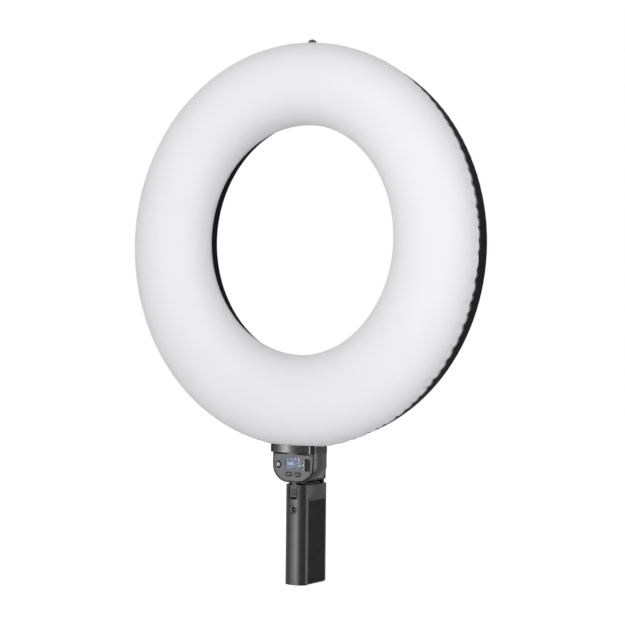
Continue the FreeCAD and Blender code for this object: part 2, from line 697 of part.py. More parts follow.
def dock_parts():
    """The gasket, contact block, pins and tongue that carry the head on the grip."""
    block_y = (f"({HOUSING_BACK} - housing_wall - contact_depth - socket_wall - part_gap)",
               f"({HOUSING_BACK} - housing_wall - socket_wall - part_gap)")
    top = f"({GRIP_TOP} + contact_height)"
    block = wide_box("contact_block", "contact_width", block_y, (GRIP_TOP, top))
    middle = f"(({block_y[0]} + {block_y[1]}) / 2)"
    pins = []
    holes = []
    for k in range(4):
        x = f"(({k} - 1.5) * contact_pitch)"
        pins.append(rod(f"contact_pin_{k}", x, middle, top, "contact_pin", "contact_pin_length"))
        holes.append(rod(f"socket_hole_{k}", x, middle, top, "(contact_pin + part_gap)", "(contact_pin_length + 1.5)"))
    contact_pins = group("contact_pins", pins)

    room = wide_box("contact_room", "(contact_width + 2 * part_gap)",
                    (f"({block_y[0]} - part_gap)", f"({block_y[1]} + part_gap)"), (GRIP_TOP, f"({top} + part_gap)"))
    socket_floor = f"({FLOOR} + housing_wall)"
    socket_block = wide_box("socket_block", "(contact_width + 2 * part_gap + 2 * socket_wall)",
                            (f"({block_y[0]} - part_gap - socket_wall)", f"({block_y[1]} + part_gap + socket_wall)"),
                            (socket_floor, f"({socket_floor} + socket_height)"))
    socket = cut("dock_socket", socket_block, room, *holes)

    gasket_front = "(-gasket_length / 2)"
    gasket_block = wide_box("gasket_block", "gasket_width", (gasket_front, "(gasket_length / 2)"),
                            (GRIP_TOP, f"({FLOOR} - part_gap)"))
    gasket_room = wide_box("gasket_room", "(contact_width + 2 * part_gap)",
                           (f"({block_y[0]} - part_gap)", f"({block_y[1]} + part_gap)"),
                           (f"({GRIP_TOP} - 1)", f"({FLOOR} + 1)"))
    gasket = cut("dock_gasket", gasket_block, gasket_room)

    blade = wide_box("tongue_blade", "tongue_width", (TONGUE_FRONT, TONGUE_BACK),
                     (GRIP_TOP, f"({GRIP_TOP} + tongue_rise)"))
    stem = wide_box("tongue_stem_block", "tongue_stem", (TONGUE_FRONT, TONGUE_BACK),
                    (f"({GRIP_TOP} - tongue_root)", f"({GRIP_TOP} + 1)"))
    foot = wide_box("tongue_foot", "tongue_stem", (TONGUE_FRONT, f"({GRIP_BACK} - grip_wall)"),
                    (f"({GRIP_TOP} - tongue_root)", f"({GRIP_TOP} - grip_wall - part_gap)"))
    tongue = fuse("dock_tongue", blade, stem, foot)
    return [block, contact_pins, socket, gasket, tongue], room


# Control housing


def d_block(label, inset, back, length):
    """A D-shaped block with its round side down, drawn in by a formula, that runs forward from back."""
    thing = body(label, "0", back, f"({FLOOR} + {inset})", FORWARD)
    outline = sketch(thing, label + "_outline")
    draw_rectangle(outline, "side", (f"{inset} - housing_width / 2", f"housing_width / 2 - {inset}"),
                   ("0", f"housing_height - 2 * {inset}"))
    block = pad(thing, outline, length)
    feature = rounded(thing, block, on_low_side, f"housing_corner - {inset}")
    return thing, feature


def housing_parts(contact_room):
    """The control housing, its panel and what is mounted on the panel."""
    outer, _ = d_block("housing_outer", "0", HOUSING_BACK, "housing_depth - panel_thick")
    inner, _ = d_block("housing_inner", "housing_wall", f"{HOUSING_BACK} - housing_wall", "housing_depth")
    posts = []
    post_back = f"({HOUSING_BACK} - housing_wall + pad_gap)"
    for row in ("high", "low"):
        for side in (-1, 1):
            posts.append(rod(f"board_post_{row}_{side + 1}", f"({side} * post_side_{row})", post_back,
                             f"({FLOOR} + post_up_{row})", "post_radius",
                             f"({post_back} - {BOARD_FRONT} - board_thick)", FORWARD))
    notch = wide_box("latch_notch", "(latch_tongue + 2 * part_gap)",
                     (f"({LATCH_TONGUE[0]} - part_gap)", f"({LATCH_TONGUE[1]} + part_gap)"),
                     (f"({FLOOR} - 1)", f"({FLOOR} + housing_wall + latch_bite)"))
    loom_hole = rod("housing_loom_hole", "0", "(-loom_back)", f"({HOUSING_TOP} - housing_wall - 1)",
                    "(loom_radius + part_gap)", "(housing_wall + 2)")
    screw_holes = [rod(f"housing_screw_hole_{k}", f"({side} * collar_screw_side)", "(-collar_screw_back)",
                       f"({HOUSING_TOP} - housing_wall - 1)", "(collar_screw_core + fit_gap)", "(housing_wall + 2)")
                   for k, side in enumerate((-1, 1))]
    rear_holes = [rod(f"housing_rear_hole_{k}", x, f"({HOUSING_BACK} + 1)", z, "(receiver_screw_core + fit_gap)",
                      "(housing_wall + 2)", FORWARD)
                  for k, (x, z) in enumerate(RECEIVER_SCREWS)]
    housing = cut("control_housing", fuse("housing_solid", cut("housing_tub", outer, inner), *posts),
                  contact_room, notch, loom_hole, *screw_holes, *rear_holes)

    plate, corner = d_block("panel_plate", "panel_inset", f"{PANEL_FRONT} + panel_thick", "panel_thick")
    rounded(plate, corner, on_top, "panel_round")
    back = f"({PANEL_FRONT} + panel_thick)"
    deep = f"({back} + 1)"
    power_z = f"({FLOOR} + power_up)"
    oval_z = f"({FLOOR} + oval_up)"
    wheel_z = f"({FLOOR} + wheel_up)"
    display_z = f"({FLOOR} + display_up)"
    rim_width = "(oval_width + 2 * part_gap + 2 * oval_rim)"
    rim_height = "(oval_height + 2 * part_gap + 2 * oval_rim)"
    long = "(panel_thick + 3)"
    power_hole = rod("power_hole", "(-power_left)", deep, power_z, "bezel_radius", long, FORWARD)
    left_hole = oval("left_hole", "(-oval_left)", deep, oval_z, rim_width, rim_height, long)
    right_hole = oval("right_hole", "oval_right", deep, oval_z, rim_width, rim_height, long)
    view_hole = wide_box("view_hole", "display_width", (f"({PANEL_FRONT} - 1)", deep),
                         (f"({display_z} - display_height / 2)", f"({display_z} + display_height / 2)"), "display_shift")
    wheel_hole = wide_box("wheel_hole", "wheel_slot_width", (f"({PANEL_FRONT} - 1)", deep),
                          (f"({wheel_z} - wheel_slot_height / 2)", f"({wheel_z} + wheel_slot_height / 2)"), "wheel_right")
    panel = cut("control_panel", plate, power_hole, left_hole, right_hole, view_hole, wheel_hole)

    bezel = cut("power_bezel", rod("bezel_bar", "(-power_left)", back, power_z, "bezel_radius", "(panel_thick + 0.4)", FORWARD),
                rod("bezel_bore", "(-power_left)", deep, power_z, "(power_radius + part_gap)", long, FORWARD))
    rims = []
    for name, x in (("left", "(-oval_left)"), ("right", "oval_right")):
        bar = oval(name + "_rim_bar", x, back, oval_z, rim_width, rim_height, "(panel_thick + 0.3)")
        bore = oval(name + "_rim_bore", x, deep, oval_z, "(oval_width + 2 * part_gap)", "(oval_height + 2 * part_gap)", long)
        rims.append(cut(name + "_rim", bar, bore))
    oval_rims = group("oval_rims", rims)

    flange_back = f"({back} + part_gap + 1)"
    reach = f"(-{PANEL_FRONT} + button_proud + {flange_back})"
    stem_back = f"({BOARD_FRONT} - switch_height - button_travel - pad_gap)"
    buttons = []
    power_cap = rod("power_cap", "(-power_left)", flange_back, power_z, "power_radius", f"{reach}", FORWARD)
    power_flange = rod("power_flange", "(-power_left)", flange_back, power_z, "(power_radius + 0.8)", "1", FORWARD)
    power_stem = rod("power_stem", "(-power_left)", stem_back, power_z, "1", f"{stem_back} - {flange_back}", FORWARD)
    buttons.append(fuse("power_button", power_cap, power_flange, power_stem))
    for name, x in (("left", "(-oval_left)"), ("right", "oval_right")):
        cap = oval(name + "_cap", x, flange_back, oval_z, "oval_width", "oval_height", reach)
        flange = oval(name + "_flange", x, flange_back, oval_z, "(oval_width + 1.6)", "(oval_height + 1.6)", "1")
        stem = rod(name + "_stem", x, stem_back, oval_z, "1", f"{stem_back} - {flange_back}", FORWARD)
        buttons.append(fuse(name + "_button", cap, flange, stem))
    switches = [wide_box(f"switch_{k}", "switch_size", (f"({BOARD_FRONT} - switch_height)", BOARD_FRONT),
                         (f"({z} - switch_size / 2)", f"({z} + switch_size / 2)"), x)
                for k, (x, z) in enumerate((("(-power_left)", power_z), ("(-oval_left)", oval_z), ("oval_right", oval_z)))]
    tact_switches = group("tact_switches", switches)

    window = wide_box("display_window", "(display_width - 2 * fit_gap)", (f"({PANEL_FRONT} + 0.2)", back),
                      (f"({display_z} - display_height / 2 + fit_gap)", f"({display_z} + display_height / 2 - fit_gap)"),
                      "display_shift")
    module = wide_box("display_module", "(display_width + module_margin)", (back, f"({back} + module_thick)"),
                      (f"({display_z} - display_height / 2 - module_margin)",
                       f"({display_z} + display_height / 2 + 0.75 * module_margin)"), "0")

    board, _ = d_block("control_board", "(housing_wall + part_gap)", f"{BOARD_FRONT} + board_thick", "board_thick")

    wheel_y = f"({PANEL_FRONT} - wheel_proud + wheel_radius)"
    wheel = body("thumbwheel", "(wheel_right - wheel_width / 2)", wheel_y, wheel_z, SIDEWAYS)
    disc = sketch(wheel, "wheel_outline")
    draw_circle(disc, "rim", "0", "0", "wheel_radius")
    draw_circle(disc, "bore", "0", "0", "axle_radius + fit_gap")
    rim = pad(wheel, disc, "wheel_width")
    rounded(wheel, rim, lambda edge, bounds: on_top_or_bottom(edge, bounds) and near(edge.BoundBox.XMax, bounds.XMax), "0.6")
    notch_drawing = sketch(wheel, "wheel_notch", "wheel_width + 1")
    draw_circle(notch_drawing, "notch", "0", "wheel_radius + 0.1", "0.5")
    polar(wheel, pocket(wheel, notch_drawing, "wheel_width + 2"), "wheel_rib_count")

    encoder_right = "(wheel_right - wheel_width / 2 - part_gap)"
    encoder_left = f"({encoder_right} - encoder_width)"
    encoder = box("wheel_encoder", (encoder_left, encoder_right), (f"({back} + 1)", BOARD_FRONT),
                  (f"({wheel_z} - encoder_height / 2)", f"({wheel_z} + encoder_height / 2)"))
    axle = rod("wheel_axle", encoder_right, wheel_y, wheel_z, "axle_radius",
               f"(housing_width / 2 - housing_wall - {encoder_right})", SIDEWAYS)
    return [housing, panel, bezel, oval_rims, window, module, board, tact_switches, encoder, axle], buttons, wheel


RECEIVER_SCREWS = [(x, f"({FLOOR} + receiver_foot + {up} * receiver_height)")
                   for x in ("(-receiver_screw_side)", "receiver_screw_side") for up in (0.45, 0.85)]


def receiver_parts():
    """The block behind the housing that the grip's tongue slides into, and its screws."""
    thing = body("receiver_moulding", "0", "0", f"({FLOOR} + receiver_foot)")
    outline = sketch(thing, "receiver_outline")
    back = f"({HOUSING_BACK} + receiver_depth)"
    draw_rectangle(outline, "side", ("-receiver_width / 2", "receiver_width / 2"), (HOUSING_BACK, back))
    block = pad(thing, outline, "receiver_height")
    edged = rounded(thing, block, on_high_side, "receiver_chamfer", "Chamfer")
    rounded(thing, edged, lambda edge, bounds: on_bottom(edge, bounds) and near(edge.BoundBox.YMax, bounds.YMax), "1.2", "Chamfer")
    slot = wide_box("receiver_slot", "(tongue_width + 2 * part_gap)", (f"({TONGUE_FRONT} - part_gap)", f"({TONGUE_BACK} + part_gap)"),
                    (FLOOR, f"({GRIP_TOP} + tongue_rise + 1)"))
    holes = []
    screws = []
    for k, (x, z) in enumerate(RECEIVER_SCREWS):
        holes.append(rod(f"receiver_hole_{k}", x, f"({back} + 1)", z, "(receiver_screw_core + fit_gap)",
                         "(receiver_depth + 2)", FORWARD))
        holes.append(rod(f"receiver_sink_{k}", x, f"({back} + 1)", z, "(receiver_screw_head + pad_gap)",
                         "(receiver_depth / 2 + 1)", FORWARD))
        head = rod(f"receiver_head_{k}", x, f"({back} - receiver_depth / 2 + receiver_screw_rise)", z, "receiver_screw_head",
                   "receiver_screw_rise", FORWARD)
        shank = rod(f"receiver_shank_{k}", x, f"({back} - receiver_depth / 2)", z, "receiver_screw_core",
                    "(receiver_depth / 2 + housing_wall + receiver_screw_rise)", FORWARD)
        screws.append(fuse(f"receiver_screw_{k}", head, shank))
    block = cut("receiver_block", thing, slot, *holes)
    return [block, group("receiver_screws", screws)]


# Collar


def collar_parts():
    """The band that clamps the ring on the housing, its screws and the wires through it."""
    thing = body("collar_band", "0", "0", HOUSING_TOP)
    outline = sketch(thing, "collar_outline")
    draw_rectangle(outline, "side", ("-collar_width / 2", "collar_width / 2"), ("-collar_front", "collar_back"))
    block = pad(thing, outline, "collar_height + saddle_height")
    rounded(thing, block, on_any_side, "collar_round")
    brow = wide_box("collar_brow", "(collar_width + 2)", ("(-collar_front - 1)", "(-joint_forward)"),
                    (COLLAR_TOP, f"({COLLAR_TOP} + saddle_height + 1)"))
    saddle = rod("collar_saddle", "0", "(shell_radius / 2)", RING_Z, "(shell_radius + fit_gap)", "shell_radius", FORWARD)
    loom_hole = rod("collar_loom_hole", "0", "(-loom_back)", f"({HOUSING_TOP} - 1)", "(loom_radius + part_gap)",
                    "(collar_height + saddle_height)")
    screw_holes = []
    screws = []
    for k, side in enumerate((-1, 1)):
        x, y = f"({side} * collar_screw_side)", "(-collar_screw_back)"
        screw_holes.append(rod(f"collar_hole_{k}", x, y, f"({HOUSING_TOP} - 1)", "(collar_screw_core + fit_gap)",
                               "(collar_height + saddle_height)"))
        head_z = f"({HOUSING_TOP} - housing_wall - collar_screw_rise)"
        head = rod(f"collar_screw_head_{k}", x, y, head_z, "collar_screw_head", "collar_screw_rise")
        shank = rod(f"collar_screw_shank_{k}", x, y, head_z, "collar_screw_core", "(collar_screw_rise + collar_screw_length)")
        screws.append(fuse(f"collar_screw_{k}", head, shank))
    collar = cut("collar", thing, brow, saddle, loom_hole, *screw_holes)

    loom_low = f"({HOUSING_TOP} - loom_drop)"
    plug = wide_box("loom_plug", "plug_width", (f"({BOARD_FRONT} + board_thick)", f"({BOARD_FRONT} + board_thick + plug_depth)"),
                    (f"({loom_low} - plug_height)", loom_low))
    loom = rod("wire_loom", "0", "(-loom_back)", loom_low, "loom_radius", "loom_length")
    loom_top = f"({loom_low} + loom_length)"
    loom_socket = wide_box("loom_socket", "(plug_width + 2)", (RING_BOARD_BACK, f"({RING_BOARD_BACK} + plug_depth - 1.5)"),
                           (loom_top, f"({loom_top} + plug_height + 1)"))
    return [collar, group("collar_screws", screws), plug, loom, loom_socket]


# Ring


def ring_drawing(owner, label, outer, hole, height="0"):
    """A sketch of the ring's outline with its hole a little above the middle."""
    thing = sketch(owner, label, height)
    draw_circle(thing, "outside", "0", "0", outer)
    draw_circle(thing, "hole", "0", "hole_rise", hole)
    return thing


def shell_parts():
    """The rear shell, the light board and its screws."""
    thing = body("shell_moulding", "0", SHELL_BACK, RING_Z, FORWARD)
    blank = pad(thing, ring_drawing(thing, "shell_outline", "shell_radius", "shell_hole"), "shell_depth")
    rounded(thing, blank, on_bottom, "shell_edge")
    pocket(thing, ring_drawing(thing, "shell_cavity", "shell_radius - shell_wall", "shell_hole + shell_wall", "shell_depth"),
           "shell_depth - shell_wall")
    boss_drawing = sketch(thing, "shell_boss", "shell_wall - fit_gap")
    draw_circle(boss_drawing, "boss", "0", BOSS_CIRCLE, "boss_radius")
    draw_circle(boss_drawing, "core", "0", BOSS_CIRCLE, "board_screw_core")
    polar(thing, pad(thing, boss_drawing, "shell_depth - ring_board_sunk - shell_wall + fit_gap"), "boss_count")
    vent_drawing = sketch(thing, "shell_vent", "shell_wall")
    across = f"{VENT_CIRCLE} * sin(180 / vent_count)"
    along = f"{VENT_CIRCLE} * cos(180 / vent_count)"
    draw_rectangle(vent_drawing, "vent", (f"{across} - vent_width / 2", f"{across} + vent_width / 2"),
                   (f"{along} - vent_length / 2", f"{along} + vent_length / 2"))
    polar(thing, pocket(thing, vent_drawing, "shell_wall + 1"), "vent_count")

    bosses = []
    tools = []
    for k, side in enumerate((-1, 1)):
        x, y = f"({side} * collar_screw_side)", "(-collar_screw_back)"
        bosses.append(rod(f"saddle_boss_{k}", x, y, f"({COLLAR_TOP} + shell_seat + saddle_boss_sunk)",
                          "saddle_boss_radius", "saddle_boss_height"))
        tools.append(rod(f"saddle_hole_{k}", x, y, COLLAR_TOP, "collar_screw_core",
                         "(shell_seat + saddle_boss_sunk + saddle_boss_height + 1)"))
    tools.append(rod("shell_loom_hole", "0", "(-loom_back)", COLLAR_TOP, "(loom_radius + part_gap)",
                     "(shell_seat + 3 * shell_wall)"))
    tools.append(rod("stud_hole", "0", STUD_Y, f"({SHELL_TOP} - shell_wall - 2)", "(stud_radius + fit_gap)",
                     "(shell_wall + 4)"))
    shell = cut("rear_shell", fuse("shell_with_bosses", thing, *bosses), *tools)

    board = body("led_board", "0", RING_BOARD_BACK, RING_Z, FORWARD)
    pad(board, ring_drawing(board, "board_outline", "shell_radius - shell_wall - ring_board_gap",
                            "shell_hole + shell_wall + ring_board_gap"), "board_thick")
    hole = sketch(board, "board_hole", "board_thick")
    draw_circle(hole, "hole", "0", BOSS_CIRCLE, "board_screw_core + fit_gap")
    polar(board, pocket(board, hole, "board_thick + 1"), "boss_count")

    return shell, board


def ring_screws():
    """The light board's screws, one in each boss."""
    screws = []
    front = f"({RING_BOARD_BACK} - board_thick)"
    for k in range(int(measure("boss_count"))):
        x = f"({BOSS_CIRCLE} * sin({k} * 360 / boss_count))"
        z = f"({RING_Z} + {BOSS_CIRCLE} * cos({k} * 360 / boss_count))"
        head = rod(f"board_screw_head_{k}", x, front, z, "board_screw_head", "board_screw_rise", FORWARD)
        shank = rod(f"board_screw_shank_{k}", x, f"({front} + board_screw_length)", z, "(board_screw_core - fit_gap / 2)",
                    "board_screw_length", FORWARD)
        screws.append(fuse(f"board_screw_{k}", head, shank))
    return group("board_screws", screws)


def measure(text):
    """The value of a formula, for what is not bound to the sheet."""
    probe = doc.addObject("App::FeaturePython", "probe")
    probe.addProperty("App::PropertyFloat", "Value")
    bind(probe, Value=text)
    doc.recompute()
    value = probe.Value
    doc.removeObject(probe.Name)
    return value


def lamps(label, offset):
    """Light-emitting diodes on two circles of the board, every second place taken."""
    width, length, height = measure("lamp_width"), measure("lamp_length"), measure("lamp_height")
    count = int(measure("lamp_count"))
    front = measure(f"{RING_BOARD_BACK} - board_thick")
    middle = measure(RING_Z)
    solids = []
    for side in (-1, 1):
        radius = measure(f"{BOSS_CIRCLE} + {side} * lamp_offset")
        for k in range(count):
            chip = Part.makeBox(width, height, length, Vector(-width / 2, front - height, radius - length / 2))
            chip.rotate(Vector(), Vector(0, 1, 0), (k + offset) * 360.0 / count)
            chip.translate(Vector(0, 0, middle))
            solids.append(chip)
    thing = doc.addObject("Part::Feature", label)
    thing.Shape = Part.makeCompound(solids)
    return thing


def puff(label, inset):
    """The cover's puffed form, solid, drawn in by a formula."""
    thing = body(label, "0", COVER_BASE, RING_Z, FORWARD)
    outer = f"(shell_radius + cover_over - {inset})"
    hole = f"(shell_hole - cover_over_hole + {inset})"
    bulge = f"(cover_bulge - hem_height / 2 - {inset})"
    blank = pad(thing, ring_drawing(thing, label + "_outline", outer, hole), bulge)
    widest = f"(({outer} - {hole} - hole_rise) / 2 - 0.5)"
    rounded(thing, blank, on_top, f"min({bulge} - 1; min({widest}; cover_round - {inset}))")
    return thing


def hem(label, outer, hole, middle, back):
    """An elastic hem: a rounded band between two radii."""
    thing = body(label, "0", back, RING_Z, FORWARD)
    drawing = sketch(thing, label + "_outline")
    draw_circle(drawing, "outside", "0", middle, outer)
    draw_circle(drawing, "hole", "0", middle, hole)
    band = pad(thing, drawing, "hem_height")
    rounded(thing, band, on_top_or_bottom, f"min(hem_round; min(hem_height; {outer} - ({hole})) / 2 - 0.2)")
    return thing


def cover_parts():
    """The fabric cover, the diffuser under it and the elastic hems."""
    room = (("(-collar_front - part_gap)", "(collar_back + part_gap)"),
            (f"({HOUSING_TOP} - 1)", f"({COLLAR_TOP} + saddle_height + 2)"))

    def collar_room(label):
        return wide_box(label, "(collar_width + 2 * part_gap)", *room)

    fabric = cut("fabric_diffuser", cut("fabric_skin", puff("fabric_outside", "0"), puff("fabric_inside", "cover_thick")),
                 collar_room("fabric_notch"))
    under = "(cover_thick + part_gap)"
    rim = body("dome_rim", "0", "-joint_forward", RING_Z, FORWARD)
    pad(rim, ring_drawing(rim, "rim_seat", "shell_radius", "shell_hole"), "hem_height / 2 + dome_thick")
    flange = ring_drawing(rim, "rim_flange", f"shell_radius + cover_over - {under} - dome_thick / 2",
                          f"shell_hole - cover_over_hole + {under} + dome_thick / 2", "hem_height / 2")
    pad(rim, flange, "dome_thick")
    pocket(rim, ring_drawing(rim, "rim_bore", "shell_radius - shell_wall", "shell_hole + shell_wall",
                             "hem_height / 2 + dome_thick"), "2 * hem_height")
    skin = cut("dome_skin", puff("dome_outside", under), puff("dome_inside", f"({under} + dome_thick)"))
    dome = cut("diffuser_dome", fuse("dome_with_rim", skin, rim), collar_room("dome_notch"))
    hem_back = "(-joint_forward + hem_height / 2)"
    outer_hem = cut("outer_hem", hem("outer_hem_band", "shell_radius + cover_over", "shell_radius + pad_gap", "0", hem_back),
                    collar_room("hem_notch"))
    inner_hem = hem("inner_hem", "shell_hole - pad_gap", "shell_hole - cover_over_hole", "hole_rise", hem_back)
    return [fabric, dome, outer_hem, inner_hem]


def driver_parts():
    """Coil and capacitors of the lamp driver, on the back of the light board."""
    z = f"({RING_Z} - shell_radius + driver_up)"
    coil = rod("driver_coil", "(-driver_side)", f"({RING_BOARD_BACK} + coil_height)", z, "coil_radius", "coil_height", FORWARD)
    capacitors = [rod(f"driver_capacitor_{k}", f"(driver_side * {1 + k / 2})", f"({RING_BOARD_BACK} + capacitor_height)", z,
                      "capacitor_radius", "capacitor_height", FORWARD) for k in range(2)]
    return group("driver_parts", [coil] + capacitors)


def stud_parts():
    """The accessory stud on top of the ring with its inner nut, washer and cap nut."""
    stud = rod("accessory_stud", "0", STUD_Y, f"({SHELL_TOP} - stud_inside)", "stud_radius",
               "(stud_inside + stud_outside)")
    bore = "(stud_radius + fit_gap)"

    def hexagon(label, z):
        thing = doc.addObject("Part::Prism", label)
        thing.Polygon = 6
        place(thing, "0", STUD_Y, z)
        bind(thing, Circumradius="nut_corner", Height="nut_height")
        return thing

    inner_z = f"({SHELL_TOP} - shell_wall - nut_height - part_gap)"
    inner_nut = cut("stud_nut", hexagon("stud_nut_block", inner_z),
                    rod("stud_nut_bore", "0", STUD_Y, f"({inner_z} - 1)", bore, "(nut_height + 2)"))
    washer = cut("stud_washer", rod("washer_disc", "0", STUD_Y, SHELL_TOP, "washer_radius", "washer_height"),
                 rod("washer_bore", "0", STUD_Y, f"({SHELL_TOP} - 1)", bore, "(washer_height + 2)"))
    nut_z = f"({SHELL_TOP} + washer_height)"
    ball = doc.addObject("Part::Sphere", "cap_nut_ball")
    place(ball, "0", STUD_Y, f"({nut_z} + nut_height)")
    bind(ball, Radius="dome_radius")
    upper = wide_box("cap_nut_upper", "(4 * dome_radius)", (f"({STUD_Y} - 2 * dome_radius)", f"({STUD_Y} + 2 * dome_radius)"),
                     (f"({nut_z} + nut_height - fit_gap)", f"({nut_z} + nut_height + 2 * dome_radius)"))
    nut_bore = rod("cap_nut_bore", "0", STUD_Y, f"({nut_z} - 1)", bore, "(stud_outside - washer_height + 1 + part_gap)")
    nut = cut("cap_nut", fuse("cap_nut_solid", hexagon("cap_nut_block", nut_z), common("cap_nut_dome", ball, upper)), nut_bore)
    return [stud, inner_nut, washer, nut]


def all_parts():
    """Every sub-part, in the order of the assembly."""
    parts = grip_parts() + grip_inside() + latch_parts()
    dock, contact_room = dock_parts()
    housing, buttons, wheel = housing_parts(contact_room)
    shell, board = shell_parts()
    ring = [shell, board, ring_screws(), lamps("warm_leds", 0.25), lamps("cool_leds", 0.75), driver_parts()]
    return parts + dock + housing + buttons + [wheel] + receiver_parts() + collar_parts() + ring + cover_parts() + stud_parts()


parts = all_parts()
doc.recompute()
faults = []
for thing in doc.Objects:
    if "Invalid" in thing.State or "Error" in thing.State:
        faults.append(f"{thing.Label} {thing.State}")
for thing in parts:
    if thing.Shape.isNull() or not thing.Shape.isValid() or not thing.Shape.Solids:
        faults.append(f"{thing.Label} has no valid solid")
if faults:
    raise RuntimeError("; ".join(faults))

os.makedirs("parts", exist_ok=True)
for thing in parts:
    thing.Shape.exportStep(f"parts/{thing.Label}.step")
    print(thing.Label, len(thing.Shape.Solids), round(thing.Shape.Volume, 1))
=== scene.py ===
"""A hand-held LED ring light in its fabric cover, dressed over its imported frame.

All sizes in the classes are millimetres in the frame's own axes: X to the object's right as seen from its front, Y to
its back, Z up from the mouth of the base thread. Meshes are made in millimetres and turned to metres when they are
finished. Pieces made here have names of their own and name the nodes that they stand for. Every other node keeps its
shape and only gets a finish.
"""

import logging
import math
import random
from dataclasses import dataclass, field
from enum import Enum
from functools import cache
from typing import Callable, Sequence

import bmesh
import bpy
from mathutils import Matrix, Vector


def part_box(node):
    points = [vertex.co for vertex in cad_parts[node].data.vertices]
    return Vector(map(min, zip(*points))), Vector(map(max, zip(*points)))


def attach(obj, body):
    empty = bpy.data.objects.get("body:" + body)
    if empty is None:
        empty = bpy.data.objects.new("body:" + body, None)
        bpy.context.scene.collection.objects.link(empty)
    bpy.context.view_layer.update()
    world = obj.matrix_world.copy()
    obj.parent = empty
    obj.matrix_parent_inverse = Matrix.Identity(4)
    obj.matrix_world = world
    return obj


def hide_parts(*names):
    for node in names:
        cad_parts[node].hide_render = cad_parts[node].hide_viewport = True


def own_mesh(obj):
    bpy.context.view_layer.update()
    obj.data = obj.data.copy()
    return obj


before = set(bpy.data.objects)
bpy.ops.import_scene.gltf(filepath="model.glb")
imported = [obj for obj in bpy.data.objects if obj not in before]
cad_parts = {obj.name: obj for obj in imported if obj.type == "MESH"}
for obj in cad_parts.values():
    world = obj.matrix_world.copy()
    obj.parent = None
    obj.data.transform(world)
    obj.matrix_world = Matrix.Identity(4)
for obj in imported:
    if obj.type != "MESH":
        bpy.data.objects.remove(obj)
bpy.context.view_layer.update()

logging.basicConfig(level=logging.INFO, format="%(message)s")
log = logging.getLogger("ring_light")

Tree = bpy.types.NodeTree
Node = bpy.types.Node
Socket = bpy.types.NodeSocket
Shape = bmesh.types.BMesh
Piece = bpy.types.Object
Profile = Sequence[tuple[float, float]]

MM = 0.001
# Corners of a mesh that lie closer than this, in millimetres, are one.
MERGE = 0.002
# The same for the corners of a node's own mesh, and the angle in degrees below which its faces are flat.
NODE_MERGE = 0.003
NODE_FLAT = 0.6
# A wave texture of this scale has its bands one unit apart.
WAVE = 0.314


# Node trees


def linear(colour: str) -> tuple[float, float, float, float]:
    """Turns a written colour into the linear values that a socket takes.

    Args:
        colour: an sRGB hex value such as "#E8E6EC".

    Returns:
        Linear red, green, blue and a full alpha.
    """
    channels = [int(colour.lstrip("#")[k : k + 2], 16) / 255 for k in (0, 2, 4)]
    values = [c / 12.92 if c <= 0.04045 else ((c + 0.055) / 1.055) ** 2.4 for c in channels]
    return values[0], values[1], values[2], 1.0


def add_node(tree: Tree, kind: str, inputs: dict | None = None, **settings) -> Node:
    """Adds one node to a tree with its settings, values and links.

    Args:
        tree: the node tree that takes the node.
        kind: the node's type name, without the leading "ShaderNode".
        inputs: socket names or numbers, each with a value, a written colour, another node's output socket, or a node
            whose first output it takes.
        settings: the node's own properties.

    Returns:
        The new node.
    """
    node = tree.nodes.new("ShaderNode" + kind)
    for key, value in settings.items():
        setattr(node, key, value)
    for key, value in (inputs or {}).items():
        source = value.outputs[0] if isinstance(value, Node) else value
        if isinstance(source, Socket):
            tree.links.new(source, node.inputs[key])
        else:
            node.inputs[key].default_value = linear(source) if isinstance(source, str) else source
    return node


def emptied(holder: bpy.types.ID) -> Tree:
    """Turns a material or world to nodes and empties its tree.

    Args:
        holder: the material or world.

    Returns:
        Its node tree.
    """
    holder.use_nodes = True
    holder.node_tree.nodes.clear()
    return holder.node_tree


# Finishes


class Surface(Enum):
    """What stands out of a moulded or painted surface."""

    GRAIN = "an even grain"
    DOTTED = "rows of small dots"


@dataclass(frozen=True)
class Finish:
    """A surface that makes its own material."""

    title: str
    colour: str

    def sockets(self, tree: Tree, place: Socket) -> dict:
        """The inputs of the principled shader, which each kind of surface gives."""
        raise NotImplementedError

    def material(self) -> bpy.types.Material:
        """Builds the material.

        Returns:
            The material, with its shader linked to its output.
        """
        material = bpy.data.materials.new(self.title)
        tree = emptied(material)
        place = add_node(tree, "TexCoord").outputs["Object"]
        shader = add_node(tree, "BsdfPrincipled", self.sockets(tree, place))
        add_node(tree, "OutputMaterial", {"Surface": shader})
        return material


